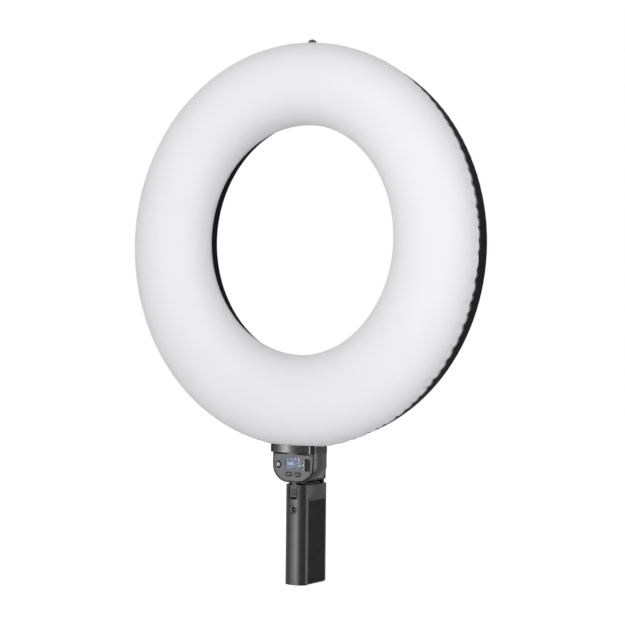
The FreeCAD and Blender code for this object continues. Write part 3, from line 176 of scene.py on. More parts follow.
@dataclass(frozen=True)
class Plastic(Finish):
    """A moulded, painted or rubber surface.

    Its colour drifts a little over centimetres, as mouldings do, its roughness is patchy where hands have been, and its
    edges carry a small radius that catches the light.
    """

    drift: str
    roughness: float
    surface: Surface = Surface.GRAIN
    grain: float = 0.45
    depth: float = 0.02
    edge: float = 0.35
    specular: float = 0.5
    ior: float = 1.53
    patch: float = 35.0
    smudge: float = 12.0
    crown: tuple[str, float, float, float] | None = None

    def crowned(self, tree: Tree, place: Socket, normal: Node) -> Node:
        """Swells flat walls a little, as mouldings are, with a bump that follows one axis.

        Args:
            tree: the material's node tree.
            place: the coordinates, in metres.
            normal: the node with the normal that it starts from.

        Returns:
            The node with the new normal.
        """
        axis, middle, half, rise = self.crown
        along = add_node(tree, "SeparateXYZ", {0: place}).outputs[axis]
        share = add_node(tree, "MapRange", {"Value": along, "From Min": (middle - half) * MM,
                                            "From Max": (middle + half) * MM, "To Min": -1.0, "To Max": 1.0})
        square = add_node(tree, "Math", {0: share, 1: share}, operation="MULTIPLY")
        height = add_node(tree, "Math", {0: square, 1: -rise * MM}, operation="MULTIPLY")
        return add_node(tree, "Bump", {"Height": height, "Distance": 1.0, "Strength": 1.0, "Normal": normal})

    def relief(self, tree: Tree, place: Socket) -> Node:
        """Adds the surface's height pattern.

        Args:
            tree: the material's node tree.
            place: the coordinates that it follows, in metres.

        Returns:
            The node with the height.
        """
        if self.surface is Surface.DOTTED:
            cells = add_node(tree, "TexVoronoi", {"Vector": place, "Scale": 1 / (self.grain * MM), "Randomness": 0.0})
            return add_node(tree, "MapRange", {"Value": cells.outputs["Distance"], "From Min": 0.15, "From Max": 0.45,
                                               "To Min": 1.0, "To Max": 0.0}, interpolation_type="SMOOTHSTEP")
        return add_node(tree, "TexNoise", {"Vector": place, "Scale": 1 / (self.grain * MM), "Detail": 3.0})

    def sockets(self, tree: Tree, place: Socket) -> dict:
        """A drifting colour, patchy roughness and the relief over rounded edges.

        Args:
            tree: the material's node tree.
            place: the coordinates, in metres.

        Returns:
            The shader's inputs.
        """
        patches = add_node(tree, "TexNoise", {"Vector": place, "Scale": 1 / (self.patch * MM), "Detail": 4.0})
        colour = add_node(tree, "Mix", {0: patches, 6: self.colour, 7: self.drift}, data_type="RGBA")
        smudges = add_node(tree, "TexNoise", {"Vector": place, "Scale": 1 / (self.smudge * MM), "Detail": 5.0,
                                              "Roughness": 0.65})
        rough = add_node(tree, "MapRange", {"Value": smudges, "From Min": 0.3, "From Max": 0.7,
                                            "To Min": self.roughness * 0.92, "To Max": min(1.0, self.roughness * 1.1)})
        normal = add_node(tree, "Bevel", {"Radius": self.edge * MM}, samples=6)
        if self.crown:
            normal = self.crowned(tree, place, normal)
        bump = add_node(tree, "Bump", {"Height": self.relief(tree, place), "Distance": self.depth * MM,
                                       "Strength": 0.6, "Normal": normal})
        return {"Base Color": colour.outputs[2], "Roughness": rough, "IOR": self.ior,
                "Specular IOR Level": self.specular, "Normal": bump}


@dataclass(frozen=True)
class Metal(Finish):
    """A plated or solid metal with fine turning marks or grain."""

    roughness: float
    mark: float = 0.25
    depth: float = 0.004
    stretch: tuple[float, float, float] = (1.0, 1.0, 1.0)
    edge: float = 0.15
    stain: float = 0.82
    stain_size: float = 6.0

    def sockets(self, tree: Tree, place: Socket) -> dict:
        """Stained metal with marks that roughen it, over rounded edges.

        Args:
            tree: the material's node tree.
            place: the coordinates, in metres.

        Returns:
            The shader's inputs.
        """
        stretched = add_node(tree, "Mapping", {"Vector": place, "Scale": self.stretch})
        marks = add_node(tree, "TexNoise", {"Vector": stretched, "Scale": 1 / (self.mark * MM), "Detail": 3.0})
        rough = add_node(tree, "MapRange", {"Value": marks, "To Min": self.roughness * 0.8,
                                            "To Max": self.roughness * 1.25})
        stains = add_node(tree, "TexNoise", {"Vector": place, "Scale": 1 / (self.stain_size * MM), "Detail": 4.0})
        stained = (*(c * self.stain for c in linear(self.colour)[:3]), 1.0)
        colour = add_node(tree, "Mix", {0: stains, 6: self.colour, 7: stained}, data_type="RGBA")
        edges = add_node(tree, "Bevel", {"Radius": self.edge * MM}, samples=4)
        bump = add_node(tree, "Bump", {"Height": marks, "Distance": self.depth * MM, "Strength": 0.5, "Normal": edges})
        return {"Base Color": colour.outputs[2], "Metallic": 1.0, "Roughness": rough, "Normal": bump}


@dataclass(frozen=True)
class Knit(Finish):
    """A stretch knit of fine polyester, with its ribs along the piece's own UV map in metres."""

    # The colour painted as shade between the loops.
    valley_shade: str
    rib: float = 0.9
    depth: float = 0.05
    sheen: float = 0.25
    tone_cloud: float = 60.0

    def sockets(self, tree: Tree, place: Socket) -> dict:
        """Rows and columns of loops with painted shade between them and random clouds of tone, under a dry sheen.

        Args:
            tree: the material's node tree.
            place: the coordinates, in metres.

        Returns:
            The shader's inputs.
        """
        cloth = add_node(tree, "TexCoord").outputs["UV"]
        waves = [add_node(tree, "TexWave", {"Vector": cloth, "Scale": WAVE / (rib * MM), "Distortion": bend,
                                            "Detail": 1.0}, bands_direction=way).outputs["Fac"]
                 for way, rib, bend in (("X", self.rib, 0.6), ("Y", self.rib * 0.7, 0.8))]
        loops = add_node(tree, "Math", dict(enumerate(waves)), operation="MULTIPLY")
        share = add_node(tree, "Math", {0: loops, 1: 0.25}, operation="MULTIPLY")
        clouds = add_node(tree, "TexNoise", {"Vector": place, "Scale": 1 / (self.tone_cloud * MM), "Detail": 3.0})
        # Painted shade: the cloth mixes towards the valley colour between the loops; the clouds only vary the tone at
        # random.
        shade = add_node(tree, "Math", {0: clouds, 1: 0.35, 2: share}, operation="MULTIPLY_ADD")
        colour = add_node(tree, "Mix", {0: shade, 6: self.valley_shade, 7: self.colour}, data_type="RGBA")
        bump = add_node(tree, "Bump", {"Height": loops, "Distance": self.depth * MM, "Strength": 0.5})
        return {"Base Color": colour.outputs[2], "Roughness": 0.92, "Specular IOR Level": 0.25,
                "Sheen Weight": self.sheen, "Sheen Roughness": 0.5, "Normal": bump}


@dataclass(frozen=True)
class Board(Finish):
    """A circuit board's solder mask with its tracks just showing under it."""

    track: str
    pitch: float = 1.6
    depth: float = 0.03

    def sockets(self, tree: Tree, place: Socket) -> dict:
        """Rows of tracks, slightly raised under a coat.

        Args:
            tree: the material's node tree.
            place: the coordinates, in metres.

        Returns:
            The shader's inputs.
        """
        tracks = add_node(tree, "TexBrick", {"Vector": place, "Scale": 1 / (self.pitch * 4 * MM), "Mortar Size": 0.05,
                                             "Color1": self.colour, "Color2": self.colour, "Mortar": self.track,
                                             "Mortar Smooth": 0.2}).outputs
        bump = add_node(tree, "Bump", {"Height": tracks["Fac"], "Distance": self.depth * MM, "Strength": 0.5})
        return {"Base Color": tracks["Color"], "Roughness": 0.35, "Coat Weight": 0.3, "Normal": bump}


@dataclass(frozen=True)
class Opal(Finish):
    """Milky moulded plastic with a fine grain."""

    cloud: str
    cloud_size: float = 30.0
    grain: float = 0.5
    depth: float = 0.01

    def sockets(self, tree: Tree, place: Socket) -> dict:
        """A clouded colour and the grain.

        Args:
            tree: the material's node tree.
            place: the coordinates, in metres.

        Returns:
            The shader's inputs.
        """
        clouds = add_node(tree, "TexNoise", {"Vector": place, "Scale": 1 / (self.cloud_size * MM), "Detail": 2.0})
        colour = add_node(tree, "Mix", {0: clouds, 6: self.colour, 7: self.cloud}, data_type="RGBA")
        grain = add_node(tree, "TexNoise", {"Vector": place, "Scale": 1 / (self.grain * MM), "Detail": 2.0})
        bump = add_node(tree, "Bump", {"Height": grain, "Distance": self.depth * MM, "Strength": 0.5})
        return {"Base Color": colour.outputs[2], "Roughness": 0.45, "IOR": 1.49, "Normal": bump}


@dataclass(frozen=True)
class Glow(Finish):
    """A lit display panel or its figures, a little brighter towards the middle of the backlight."""

    rim: str
    strength: float
    middle: tuple[float, float, float] = (0.6, -23.4, 140.15)
    reach: float = 12.0

    def sockets(self, tree: Tree, place: Socket) -> dict:
        """Light that falls off from the middle, over a dark panel.

        Args:
            tree: the material's node tree.
            place: the coordinates, in metres.

        Returns:
            The shader's inputs.
        """
        middle = tuple(c * MM for c in self.middle)
        distance = add_node(tree, "VectorMath", {0: place, 1: middle}, operation="DISTANCE").outputs["Value"]
        fall = add_node(tree, "MapRange", {"Value": distance, "From Max": self.reach * MM})
        colour = add_node(tree, "Mix", {0: fall, 6: self.colour, 7: self.rim}, data_type="RGBA")
        return {"Base Color": "#101418", "Roughness": 0.4, "Specular IOR Level": 0.05,
                "Emission Color": colour.outputs[2], "Emission Strength": self.strength}


@dataclass(frozen=True)
class Window(Finish):
    """A clear acrylic window with a faint smoke tint and hairline scratches."""

    specular: float = 0.03
    scratch: float = 0.3

    def sockets(self, tree: Tree, place: Socket) -> dict:
        """Clear acrylic that the scratches roughen a little.

        Args:
            tree: the material's node tree.
            place: the coordinates, in metres.

        Returns:
            The shader's inputs.
        """
        scratches = add_node(tree, "TexNoise", {"Vector": place, "Scale": 1 / (self.scratch * MM), "Detail": 2.0})
        rough = add_node(tree, "MapRange", {"Value": scratches, "To Min": 0.03, "To Max": 0.06})
        return {"Base Color": self.colour, "Roughness": rough, "IOR": 1.49, "Specular IOR Level": self.specular,
                "Transmission Weight": 1.0}


@cache
def material_of(finish: Finish) -> bpy.types.Material:
    """The material of a finish, built once."""
    return finish.material()


# Moulded ABS from a spark-eroded tool: dark, satin, an even grain that breaks highlights up.
GRIP_ABS = Plastic("ABS_satin_grip", "#060607", "#0A0A0B", 0.39, depth=0.01, edge=0.6, specular=0.26)
HOUSING_ABS = Plastic("ABS_satin_housing", "#060607", "#0A0A0B", 0.33, depth=0.006, specular=0.26,
                      crown=("Y", -9.85, 13.4, 1.9))
DOCK_ABS = Plastic("ABS_satin_dock", "#08080A", "#0D0D0E", 0.4, depth=0.014, specular=0.25)
SHELL_ABS = Plastic("ABS_satin_shell", "#060607", "#0A0A0B", 0.45, depth=0.014, specular=0.02)
LATCH_ABS = Plastic("ABS_satin_latch", "#131315", "#19191B", 0.40, grain=0.6, depth=0.03, edge=0.25, specular=0.25)
# ABS from a polished tool: deep black with sharp reflections.
COLLAR_ABS = Plastic("ABS_polished_collar", "#050506", "#08080A", 0.15, grain=3.0, depth=0.003, edge=0.5,
                     specular=0.26, crown=("X", 0.0, 29.0, 1.3))
GLOSS_ABS = Plastic("ABS_polished", "#050506", "#08080A", 0.15, grain=3.0, depth=0.003, specular=0.14)
# Small technical mouldings.
SWITCH_ABS = Plastic("PBT_switch_parts", "#161618", "#1E1E20", 0.45, grain=0.5)
WHEEL_NYLON = Plastic("nylon_thumbwheel", "#0B0B0C", "#101011", 0.5, grain=0.4, edge=0.2, specular=0.15)
JACK_PBT = Plastic("PBT_jack", "#2E2E31", "#38383B", 0.25, grain=2.0, depth=0.006, edge=0.2)
CRADLE_NYLON = Plastic("nylon_cradle", "#C9C6BC", "#D4D1C8", 0.5, grain=0.5, edge=0.3)
# Satin paint over a moulded panel: neutral grey, soft sheen, the finest grain.
PANEL_PAINT = Plastic("satin_paint_grey", "#444549", "#4B4C50", 0.36, grain=0.35, depth=0.008, edge=0.3,
                      specular=0.22)
PRINT_WHITE = Plastic("screen_print_white", "#F1F2F3", "#F6F6F7", 0.6, grain=1.0, depth=0.002)
# Keys: pale soft-touch paint on the round one, dark rubber on the ovals.
BUTTON_PAINT = Plastic("soft_touch_grey", "#B9BABC", "#C2C3C5", 0.5, grain=0.4, depth=0.01, edge=0.2, specular=0.3)
CAP_RUBBER = Plastic("silicone_button_caps", "#141415", "#1A1A1B", 0.5, grain=0.4, depth=0.01, edge=0.2, specular=0.3)
# Thermoplastic rubber: matt, with small dots for the fingers. Real dots are about 0.8 mm apart, drawn at 1.5 mm.
PAD_RUBBER = Plastic("TPE_dotted_pad", "#0F0F10", "#151516", 0.75, Surface.DOTTED, grain=1.5, depth=0.2, edge=0.4,
                     specular=0.1)
GASKET_RUBBER = Plastic("silicone_gasket", "#0C0C0D", "#121213", 0.8, grain=0.6, edge=0.3, specular=0.3)
# Sleeves of wires, cells and drivers.
WIRE_SILICONE = Plastic("silicone_wire", "#101011", "#18181A", 0.55, grain=1.2, edge=0.2)
SLEEVE_PVC = Plastic("PVC_shrink_sleeve", "#2F5F86", "#356A94", 0.38, grain=2.5, edge=0.3)
DRIVER_SLEEVE = Plastic("driver_sleeve", "#1C2230", "#242C3C", 0.4, grain=1.5, edge=0.3)
# Stretch polyester knit: off-white, dry, a soft sheen at grazing view. Its second colour is painted shade between the
# loops. Loops of 0.3 mm are drawn at 0.9 mm.
COVER_KNIT = Knit("polyester_stretch_knit", "#F7F7F9", "#EFEFF2")
HEM_KNIT = Knit("elastic_hem_knit", "#F4F3F7", "#DFDEE6", rib=1.1, depth=0.12)
OPAL_PC = Opal("opal_polycarbonate", "#F2F1EC", "#E9E7E0")
# Phosphor caps of the two diode colours.
WARM_PHOSPHOR = Opal("phosphor_warm", "#E7B24E", "#D99E3C")
COOL_PHOSPHOR = Opal("phosphor_cool", "#EDE58C", "#E2D878")
GREEN_BOARD = Board("FR4_green_mask", "#0F3A24", "#1B5A38")
BLACK_BOARD = Board("FR4_black_mask", "#0B0C0D", "#141617")
WHITE_BOARD = Board("FR4_white_mask", "#E4E4E0", "#CFCFC8", pitch=3.0)
BLACK_CHROME = Metal("black_chrome_plating", "#5A5C60", 0.1, mark=0.4, depth=0.001, edge=0.3)
ZINC_STEEL = Metal("zinc_plated_steel", "#A9ACB0", 0.28)
BLACK_STEEL = Metal("black_oxide_steel", "#3A3B3E", 0.35)
BRASS = Metal("turned_brass", "#C9A45A", 0.25, stretch=(1.0, 1.0, 6.0))
NICKEL = Metal("nickel_plated_spring", "#C4C2BA", 0.2)
DISPLAY_GLOW = Glow("lit_display", "#7E8CA4", "#67768F", 0.85)
DISPLAY_FIGURES = Glow("display_figures", "#EEF3FC", "#E4EBF8", 1.1)
CLEAR_WINDOW = Window("acrylic_window", "#D6DAE2")


# Meshes


def smooth_step(value: float) -> float:
    """Eases a share from 0 to 1."""
    share = min(1.0, max(0.0, value))
    return share * share * (3 - 2 * share)


def quarter(steps: int) -> list[tuple[float, float]]:
    """The cosines and sines of a quarter turn in equal steps."""
    return [(math.cos(turn), math.sin(turn)) for turn in (math.pi / 2 * k / steps for k in range(steps + 1))]


def settle(shape: Shape, name: str, sharp: float = 35.0, recalculate: bool = True) -> Piece:
    """Merges a mesh made in millimetres, marks its sharp edges and makes it an object in metres.

    Args:
        shape: the mesh, which is used up.
        name: the piece's name.
        sharp: the angle in degrees above which an edge stays hard.
        recalculate: whether the faces are turned outwards.

    Returns:
        The object, linked to the scene.
    """
    bmesh.ops.remove_doubles(shape, verts=shape.verts, dist=MERGE)
    if recalculate:
        bmesh.ops.recalc_face_normals(shape, faces=shape.faces)
    for face in shape.faces:
        face.smooth = True
    for edge in shape.edges:
        edge.smooth = len(edge.link_faces) == 2 and edge.calc_face_angle(0.0) < math.radians(sharp)
    bmesh.ops.scale(shape, vec=(MM, MM, MM), verts=shape.verts)
    mesh = bpy.data.meshes.new(name)
    shape.to_mesh(mesh)
    shape.free()
    piece = bpy.data.objects.new(name, mesh)
    bpy.context.scene.collection.objects.link(piece)
    return piece


def make(shape: Shape, name: str, finish: Finish, body: str, slot: str, *nodes: str, **edges) -> Piece:
    """Makes a piece with its finish, its body and the nodes that it stands for, and reports it.

    Args:
        shape: the mesh, which is used up.
        name: the piece's name.
        finish: its finish.
        body: the body that it rides on.
        slot: a material slot name; not used.
        nodes: the frame's nodes that it replaces.
        edges: what settle takes beside them.

    Returns:
        The object.
    """
    piece = settle(shape, name, **edges)
    piece.data.materials.append(material_of(finish))
    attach(piece, body)
    if nodes:
        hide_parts(*nodes)
    log.info("made %s: %d faces", piece.name, len(piece.data.polygons))
    return piece


def dress(finish: Finish, *nodes: str) -> None:
    """Gives carried-over nodes a finish, and reports them.

    Args:
        finish: the finish for all of them.
        nodes: the frame's nodes, whose shape stays as it is.
    """
    for name in nodes:
        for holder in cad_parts[name].material_slots:
            holder.material = material_of(finish)
        log.info("dressed %s: %s", name, finish.title)


def join(target: Shape, part: Shape) -> None:
    """Adds a mesh to another one.

    Args:
        target: the mesh that grows.
        part: the mesh that is added, which is used up.
    """
    carrier = bpy.data.meshes.new("carrier")
    part.to_mesh(carrier)
    part.free()
    target.from_mesh(carrier)
    bpy.data.meshes.remove(carrier)


def copied(name: str) -> Shape:
    """A copy of a node's mesh, merged, with its flat faces cleaned.

    Args:
        name: the frame's node.

    Returns:
        The mesh, in millimetres.
    """
    shape = bmesh.new()
    shape.from_mesh(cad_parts[name].data)
    bmesh.ops.scale(shape, vec=(1 / MM,) * 3, verts=shape.verts)
    bmesh.ops.remove_doubles(shape, verts=shape.verts, dist=NODE_MERGE)
    bmesh.ops.dissolve_limit(shape, angle_limit=math.radians(NODE_FLAT), verts=shape.verts, edges=shape.edges)
    return shape


def round_edges(shape: Shape, edges: Sequence[bmesh.types.BMEdge], radius: float, segments: int) -> None:
    """Rounds edges, by less where there is no room."""
    bmesh.ops.bevel(shape, geom=edges, offset=radius, offset_type="OFFSET", segments=segments, profile=0.5,
                    affect="EDGES", clamp_overlap=True, material=-1)


def spin(shape: Shape, section: Sequence, axis: Sequence[float], steps: int, angle: float = math.tau) -> None:
    """Turns a section round an axis through the origin.

    Args:
        shape: the mesh that holds the section.
        section: its points and edges, and its face where the turn isn't full.
        axis: the axis.
        steps: how many parts the turn has.
        angle: the turn, in radians.
    """
    full = angle == math.tau
    bmesh.ops.spin(shape, geom=section, cent=(0, 0, 0), axis=axis, dvec=(0, 0, 0), angle=angle, steps=steps,
                   use_merge=full, use_duplicate=not full)
    bmesh.ops.remove_doubles(shape, verts=shape.verts, dist=MERGE)


def turned(profile: Profile, steps: int, axis: str = "Y", centre: Sequence[float] = (0, 0, 0),
           stretch: float = 0.0) -> Shape:
    """Turns a profile round an axis, as on a lathe.

    Args:
        profile: pairs of radius and height along the axis, in millimetres.
        steps: how many sides the turned shape has.
        axis: "X", "Y" or "Z".
        centre: the point of the axis at height 0.
        stretch: how far each half moves out along X, which makes an oval with straight sides.

    Returns:
        The mesh, in millimetres.
    """
    shape = bmesh.new()
    start = math.pi / steps
    along, spoke = {"X": ((1, 0, 0), (0, math.sin(start), math.cos(start))),
                    "Y": ((0, 1, 0), (math.sin(start), 0, math.cos(start))),
                    "Z": ((0, 0, 1), (math.sin(start), math.cos(start), 0))}[axis]
    points = [shape.verts.new(Vector(spoke) * radius + Vector(along) * height) for radius, height in profile]
    edges = [shape.edges.new((a, b)) for a, b in zip(points, points[1:])]
    spin(shape, points + edges, along, steps)
    for vert in shape.verts:
        if stretch and abs(vert.co.x) > 1e-4:
            vert.co.x += math.copysign(stretch, vert.co.x)
    bmesh.ops.translate(shape, verts=shape.verts, vec=Vector(centre))
    return shape


def add_block(shape: Shape, centre: Sequence[float], size: Sequence[float], edge: float = 0.0) -> Shape:
    """Adds a block to a mesh.

    Args:
        shape: the mesh, which is empty where the block is rounded.
        centre: the block's middle.
        size: its three sides.
        edge: the radius of its edges, or 0.

    Returns:
        The same mesh.
    """
    corners = bmesh.ops.create_cube(shape, size=1.0)["verts"]
    bmesh.ops.scale(shape, vec=size, verts=corners)
    bmesh.ops.translate(shape, verts=corners, vec=centre)
    if edge:
        round_edges(shape, shape.edges[:], edge, 3)
    return shape


def lay_cloth(shape: Shape, middle: float, radius: float, across: Callable[[bmesh.types.BMVert], float]) -> None:
    """Gives a mesh a UV map in metres, round the Y axis and across the cloth.

    Args:
        shape: the mesh.
        middle: the height of the axis.
        radius: the radius at which the map has its true length.
        across: gives a point's place across the cloth, in millimetres.
    """
    layer = shape.loops.layers.uv.new("cloth")
    for face in shape.faces:
        centre = face.calc_center_median()
        home = math.atan2(centre.x, centre.z - middle)
        for corner in face.loops:
            angle = math.atan2(corner.vert.co.x, corner.vert.co.z - middle)
            angle += math.tau * round((home - angle) / math.tau)
            corner[layer].uv = (angle * radius * MM, across(corner.vert) * MM)


# Fabric cover


@dataclass
class FabricCover:
    """The puffed stretch cover with its gathered outer hem and its smooth hem in the hole."""

    ring_z: float = 390.0
    hole_rise: float = 6.2
    outer: float = 232.5
    hole: float = 132.5
    front: float = -59.65
    back: float = -13.85
    hem_back: float = -6.6
    hem_inside: float = 228.15
    hem_gap: float = 0.25
    hole_hem_outside: float = 139.95
    cloth_middle: float = 182.5
    fullness: float = 2.12
    rows: int = 44
    steps: int = 880
    gathers: int = 108
    gather_depth: float = 2.0
    gather_reach: float = 17.0
    collar_half: float = 31.2
    collar_front: float = -29.45
    collar_top: float = 161.1
    collar_reach: float = 7.0
    seed: int = 7
    folds: list[tuple[float, float, float]] = field(default_factory=list)

    def __post_init__(self) -> None:
        """Draws the places, depths and widths of the gathers."""
        chance = random.Random(self.seed)
        pitch = math.tau / self.gathers
        for k in range(self.gathers):
            angle = (k + chance.uniform(-0.24, 0.24)) * pitch
            self.folds.append((angle, chance.uniform(0.5, 1.2), chance.uniform(2.2, 3.8)))

    def hole_radius(self, angle: float) -> float:
        """The hole's edge as seen from the ring's centre, at an angle from the top."""
        side = self.hole_rise * math.sin(angle)
        return self.hole_rise * math.cos(angle) + math.sqrt(self.hole ** 2 - side ** 2)

    def gather(self, angle: float) -> float:
        """How deep the nearest folds draw the edge in.

        Args:
            angle: the angle from the top, in radians.

        Returns:
            The depth, most at the lower right, in millimetres.
        """
        nearest = round((angle % math.tau) / (math.tau / self.gathers))
        depth = 0.0
        for k in (nearest - 1, nearest, nearest + 1):
            middle, strength, width = self.folds[k % self.gathers]
            away = abs((angle - middle + math.pi) % math.tau - math.pi) * self.outer
            depth = max(depth, strength * math.exp(-((away / width) ** 2)))
        swell = 0.62 + 0.3 * math.sin(angle - 0.6) - 0.32 * math.cos(angle)
        return self.gather_depth * depth * swell

    def over_collar(self, place: Vector) -> None:
        """Lifts a point that would lie in the collar on to its top, and eases in towards it.

        Args:
            place: the point, which is moved.
        """
        aside = max(0.0, abs(place.x) - self.collar_half)
        before = max(0.0, self.collar_front - place.y)
        near = smooth_step(1 - math.hypot(aside, before) / self.collar_reach)
        if near > 0 and place.z < self.collar_top:
            place.z += (self.collar_top - place.z) * near

    def cover(self) -> Shape:
        """Turns the cover's section round the ring and draws its outer edge into gathers.

        Returns:
            The mesh, with a UV map in metres along and across the cloth.
        """
        shape = bmesh.new()
        run = shape.verts.layers.float.new("run")
        share = shape.verts.layers.float.new("share")
        half = (self.outer - self.hole) / 2
        power = 2 / self.fullness
        points, travelled = [], 0.0
        for k in range(self.rows + 1):
            turn = math.pi * k / self.rows
            across = -math.copysign(abs(math.cos(turn)) ** power, math.cos(turn))
            forward = math.sin(turn) ** power if 0 < k < self.rows else 0.0
            here = Vector((0.0, self.back - (self.back - self.front) * forward, self.hole + half + half * across))
            travelled += (here - points[-1].co).length if points else 0.0
            points.append(shape.verts.new(here))
            points[-1][run], points[-1][share] = travelled, across
        edges = [shape.edges.new((a, b)) for a, b in zip(points, points[1:])]
        spin(shape, points + edges, (0, 1, 0), self.steps)
        lay_cloth(shape, 0.0, self.cloth_middle, lambda vert: vert[run])
        for vert in shape.verts:
            angle = math.atan2(vert.co.x, vert.co.z)
            inner = self.hole_radius(angle)
            near_edge = smooth_step(1 - (travelled - vert[run]) / self.gather_reach)
            radius = (inner + self.outer) / 2 + vert[share] * (self.outer - inner) / 2 - self.gather(angle) * near_edge
            vert.co.x, vert.co.z = radius * math.sin(angle), radius * math.cos(angle) + self.ring_z
            self.over_collar(vert.co)
        return shape

    def outer_hem(self) -> Shape:
        """The gathered elastic edge that grips the shell, open where the collar passes.

        Returns:
            The mesh, with its UV map.
        """
        inside, outer, back, end = self.hem_inside, self.outer, self.back, self.hem_back
        section = [(inside, back + 0.2), (outer - 1.2, back - 0.6), (outer - 0.1, back - 0.2), (outer, back + 0.8),
                   (outer - 0.2, back + 3.0), (outer - 0.9, end - 1.6), (outer - 1.9, end - 0.4), (outer - 3.0, end),
                   (inside, end)]
        gap = math.asin((self.collar_half + self.hem_gap) / outer)
        start = math.pi + gap
        shape = bmesh.new()
        points = [shape.verts.new(Vector((math.sin(start) * r, y, math.cos(start) * r))) for r, y in section]
        face = shape.faces.new(points)
        spin(shape, [face, *face.edges, *points], (0, 1, 0), self.steps, math.tau - 2 * gap)
        lay_cloth(shape, 0.0, outer, lambda vert: vert.co.y + math.hypot(vert.co.x, vert.co.z))
        for vert in shape.verts:
            angle = math.atan2(vert.co.x, vert.co.z)
            radius = math.hypot(vert.co.x, vert.co.z)
            radius -= self.gather(angle) * (radius - inside) / (outer - inside)
            vert.co.x, vert.co.z = radius * math.sin(angle), radius * math.cos(angle) + self.ring_z
        return shape

    def inner_hem(self) -> Shape:
        """The smooth white band that finishes the cover in the hole.

        Returns:
            The mesh, with its UV map.
        """
        low, high, back, end = self.hole, self.hole_hem_outside, self.back, self.hem_back
        middle = self.ring_z + self.hole_rise
        section = [(low + 1.0, back - 0.4), (low + 0.1, back + 0.6), (low, back + 2.0), (low + 0.2, end - 1.0),
                   (low + 1.2, end), (high, end), (high, back + 0.2), (low + 1.0, back - 0.4)]
        shape = turned(section, 320, "Y", (0, 0, middle))
        lay_cloth(shape, middle, low, lambda vert: vert.co.y)
        return shape

    def build(self) -> None:
        """Makes the cover and its hems and dresses the dome under them."""
        cloth = make(self.cover(), "cover_fabric", COVER_KNIT, "head", "cover_fabric", "fabric_diffuser", sharp=80.0)
        outer = make(self.outer_hem(), "cover_outer_hem", HEM_KNIT, "head", "hem_elastic", "outer_hem", sharp=70.0)
        inner = make(self.inner_hem(), "cover_inner_hem", HEM_KNIT, "head", "hem_elastic", "inner_hem", sharp=60.0)
        dress(OPAL_PC, "diffuser_dome")


# Ring


@dataclass
class Ring:
    """The black shell, its light board and the stud on top."""

    stud_y: float = 6.5
    washer_low: float = 618.0
    washer_high: float = 619.2
    washer_radius: float = 7.0
    washer_bore: float = 3.2
    washer_edge: float = 0.35
    hex_top: float = 624.7
    hex_corner: float = 6.41
    hex_edge: float = 0.45
    dome_radius: float = 5.6
    dome_sunk: float = 0.4
    top: float = 630.3

    def cap_nut(self) -> None:
        """The domed nut: a chamfered hexagon under a polished dome."""
        high = self.top - self.hex_top
        dome = [(0.0, -self.dome_sunk), (self.dome_radius, -self.dome_sunk)]
        dome += [(self.dome_radius * out, high * up) for out, up in quarter(10)]
        shape = turned(dome, 48, "Z", (0, self.stud_y, self.hex_top))
        corners = bmesh.ops.create_cone(shape, cap_ends=True, segments=6, radius1=self.hex_corner,
                                        radius2=self.hex_corner, depth=self.hex_top - self.washer_high)["verts"]
        bmesh.ops.translate(shape, verts=corners, vec=(0, self.stud_y, (self.hex_top + self.washer_high) / 2))
        round_edges(shape, [edge for edge in shape.edges if set(edge.verts) <= set(corners)], self.hex_edge, 2)
        make(shape, "cap_nut_domed", BLACK_CHROME, "head", "chrome", "cap_nut", sharp=28.0)

    def washer(self) -> None:
        """The flat washer under the nut, with rolled rims and its hole."""
        low, high, bore, edge = self.washer_low, self.washer_high, self.washer_bore, self.washer_edge
        flat = self.washer_radius - edge
        rims = [(flat + edge * out, low + edge - edge * down) for down, out in quarter(4)]
        rims += [(flat + edge * out, high - edge + edge * up) for out, up in quarter(4)]
        profile = [(bore, low), *rims, (bore, high), (bore, low)]
        shape = turned(profile, 56, "Z", (0, self.stud_y, 0))
        make(shape, "stud_washer_rolled", ZINC_STEEL, "head", "plated_steel", "stud_washer", sharp=30.0)

    def build(self) -> None:
        """Makes the nut and washer and dresses the ring's carried-over nodes."""
        self.cap_nut()
        self.washer()
        dress(SHELL_ABS, "rear_shell")
        dress(WHITE_BOARD, "led_board")
        dress(WARM_PHOSPHOR, "warm_leds")
        dress(COOL_PHOSPHOR, "cool_leds")
        dress(ZINC_STEEL, "accessory_stud", "stud_nut", "board_screws")
        dress(DRIVER_SLEEVE, "driver_parts")
        dress(WIRE_SILICONE, "wire_loom")
        dress(CRADLE_NYLON, "loom_plug", "loom_socket")


# Control head


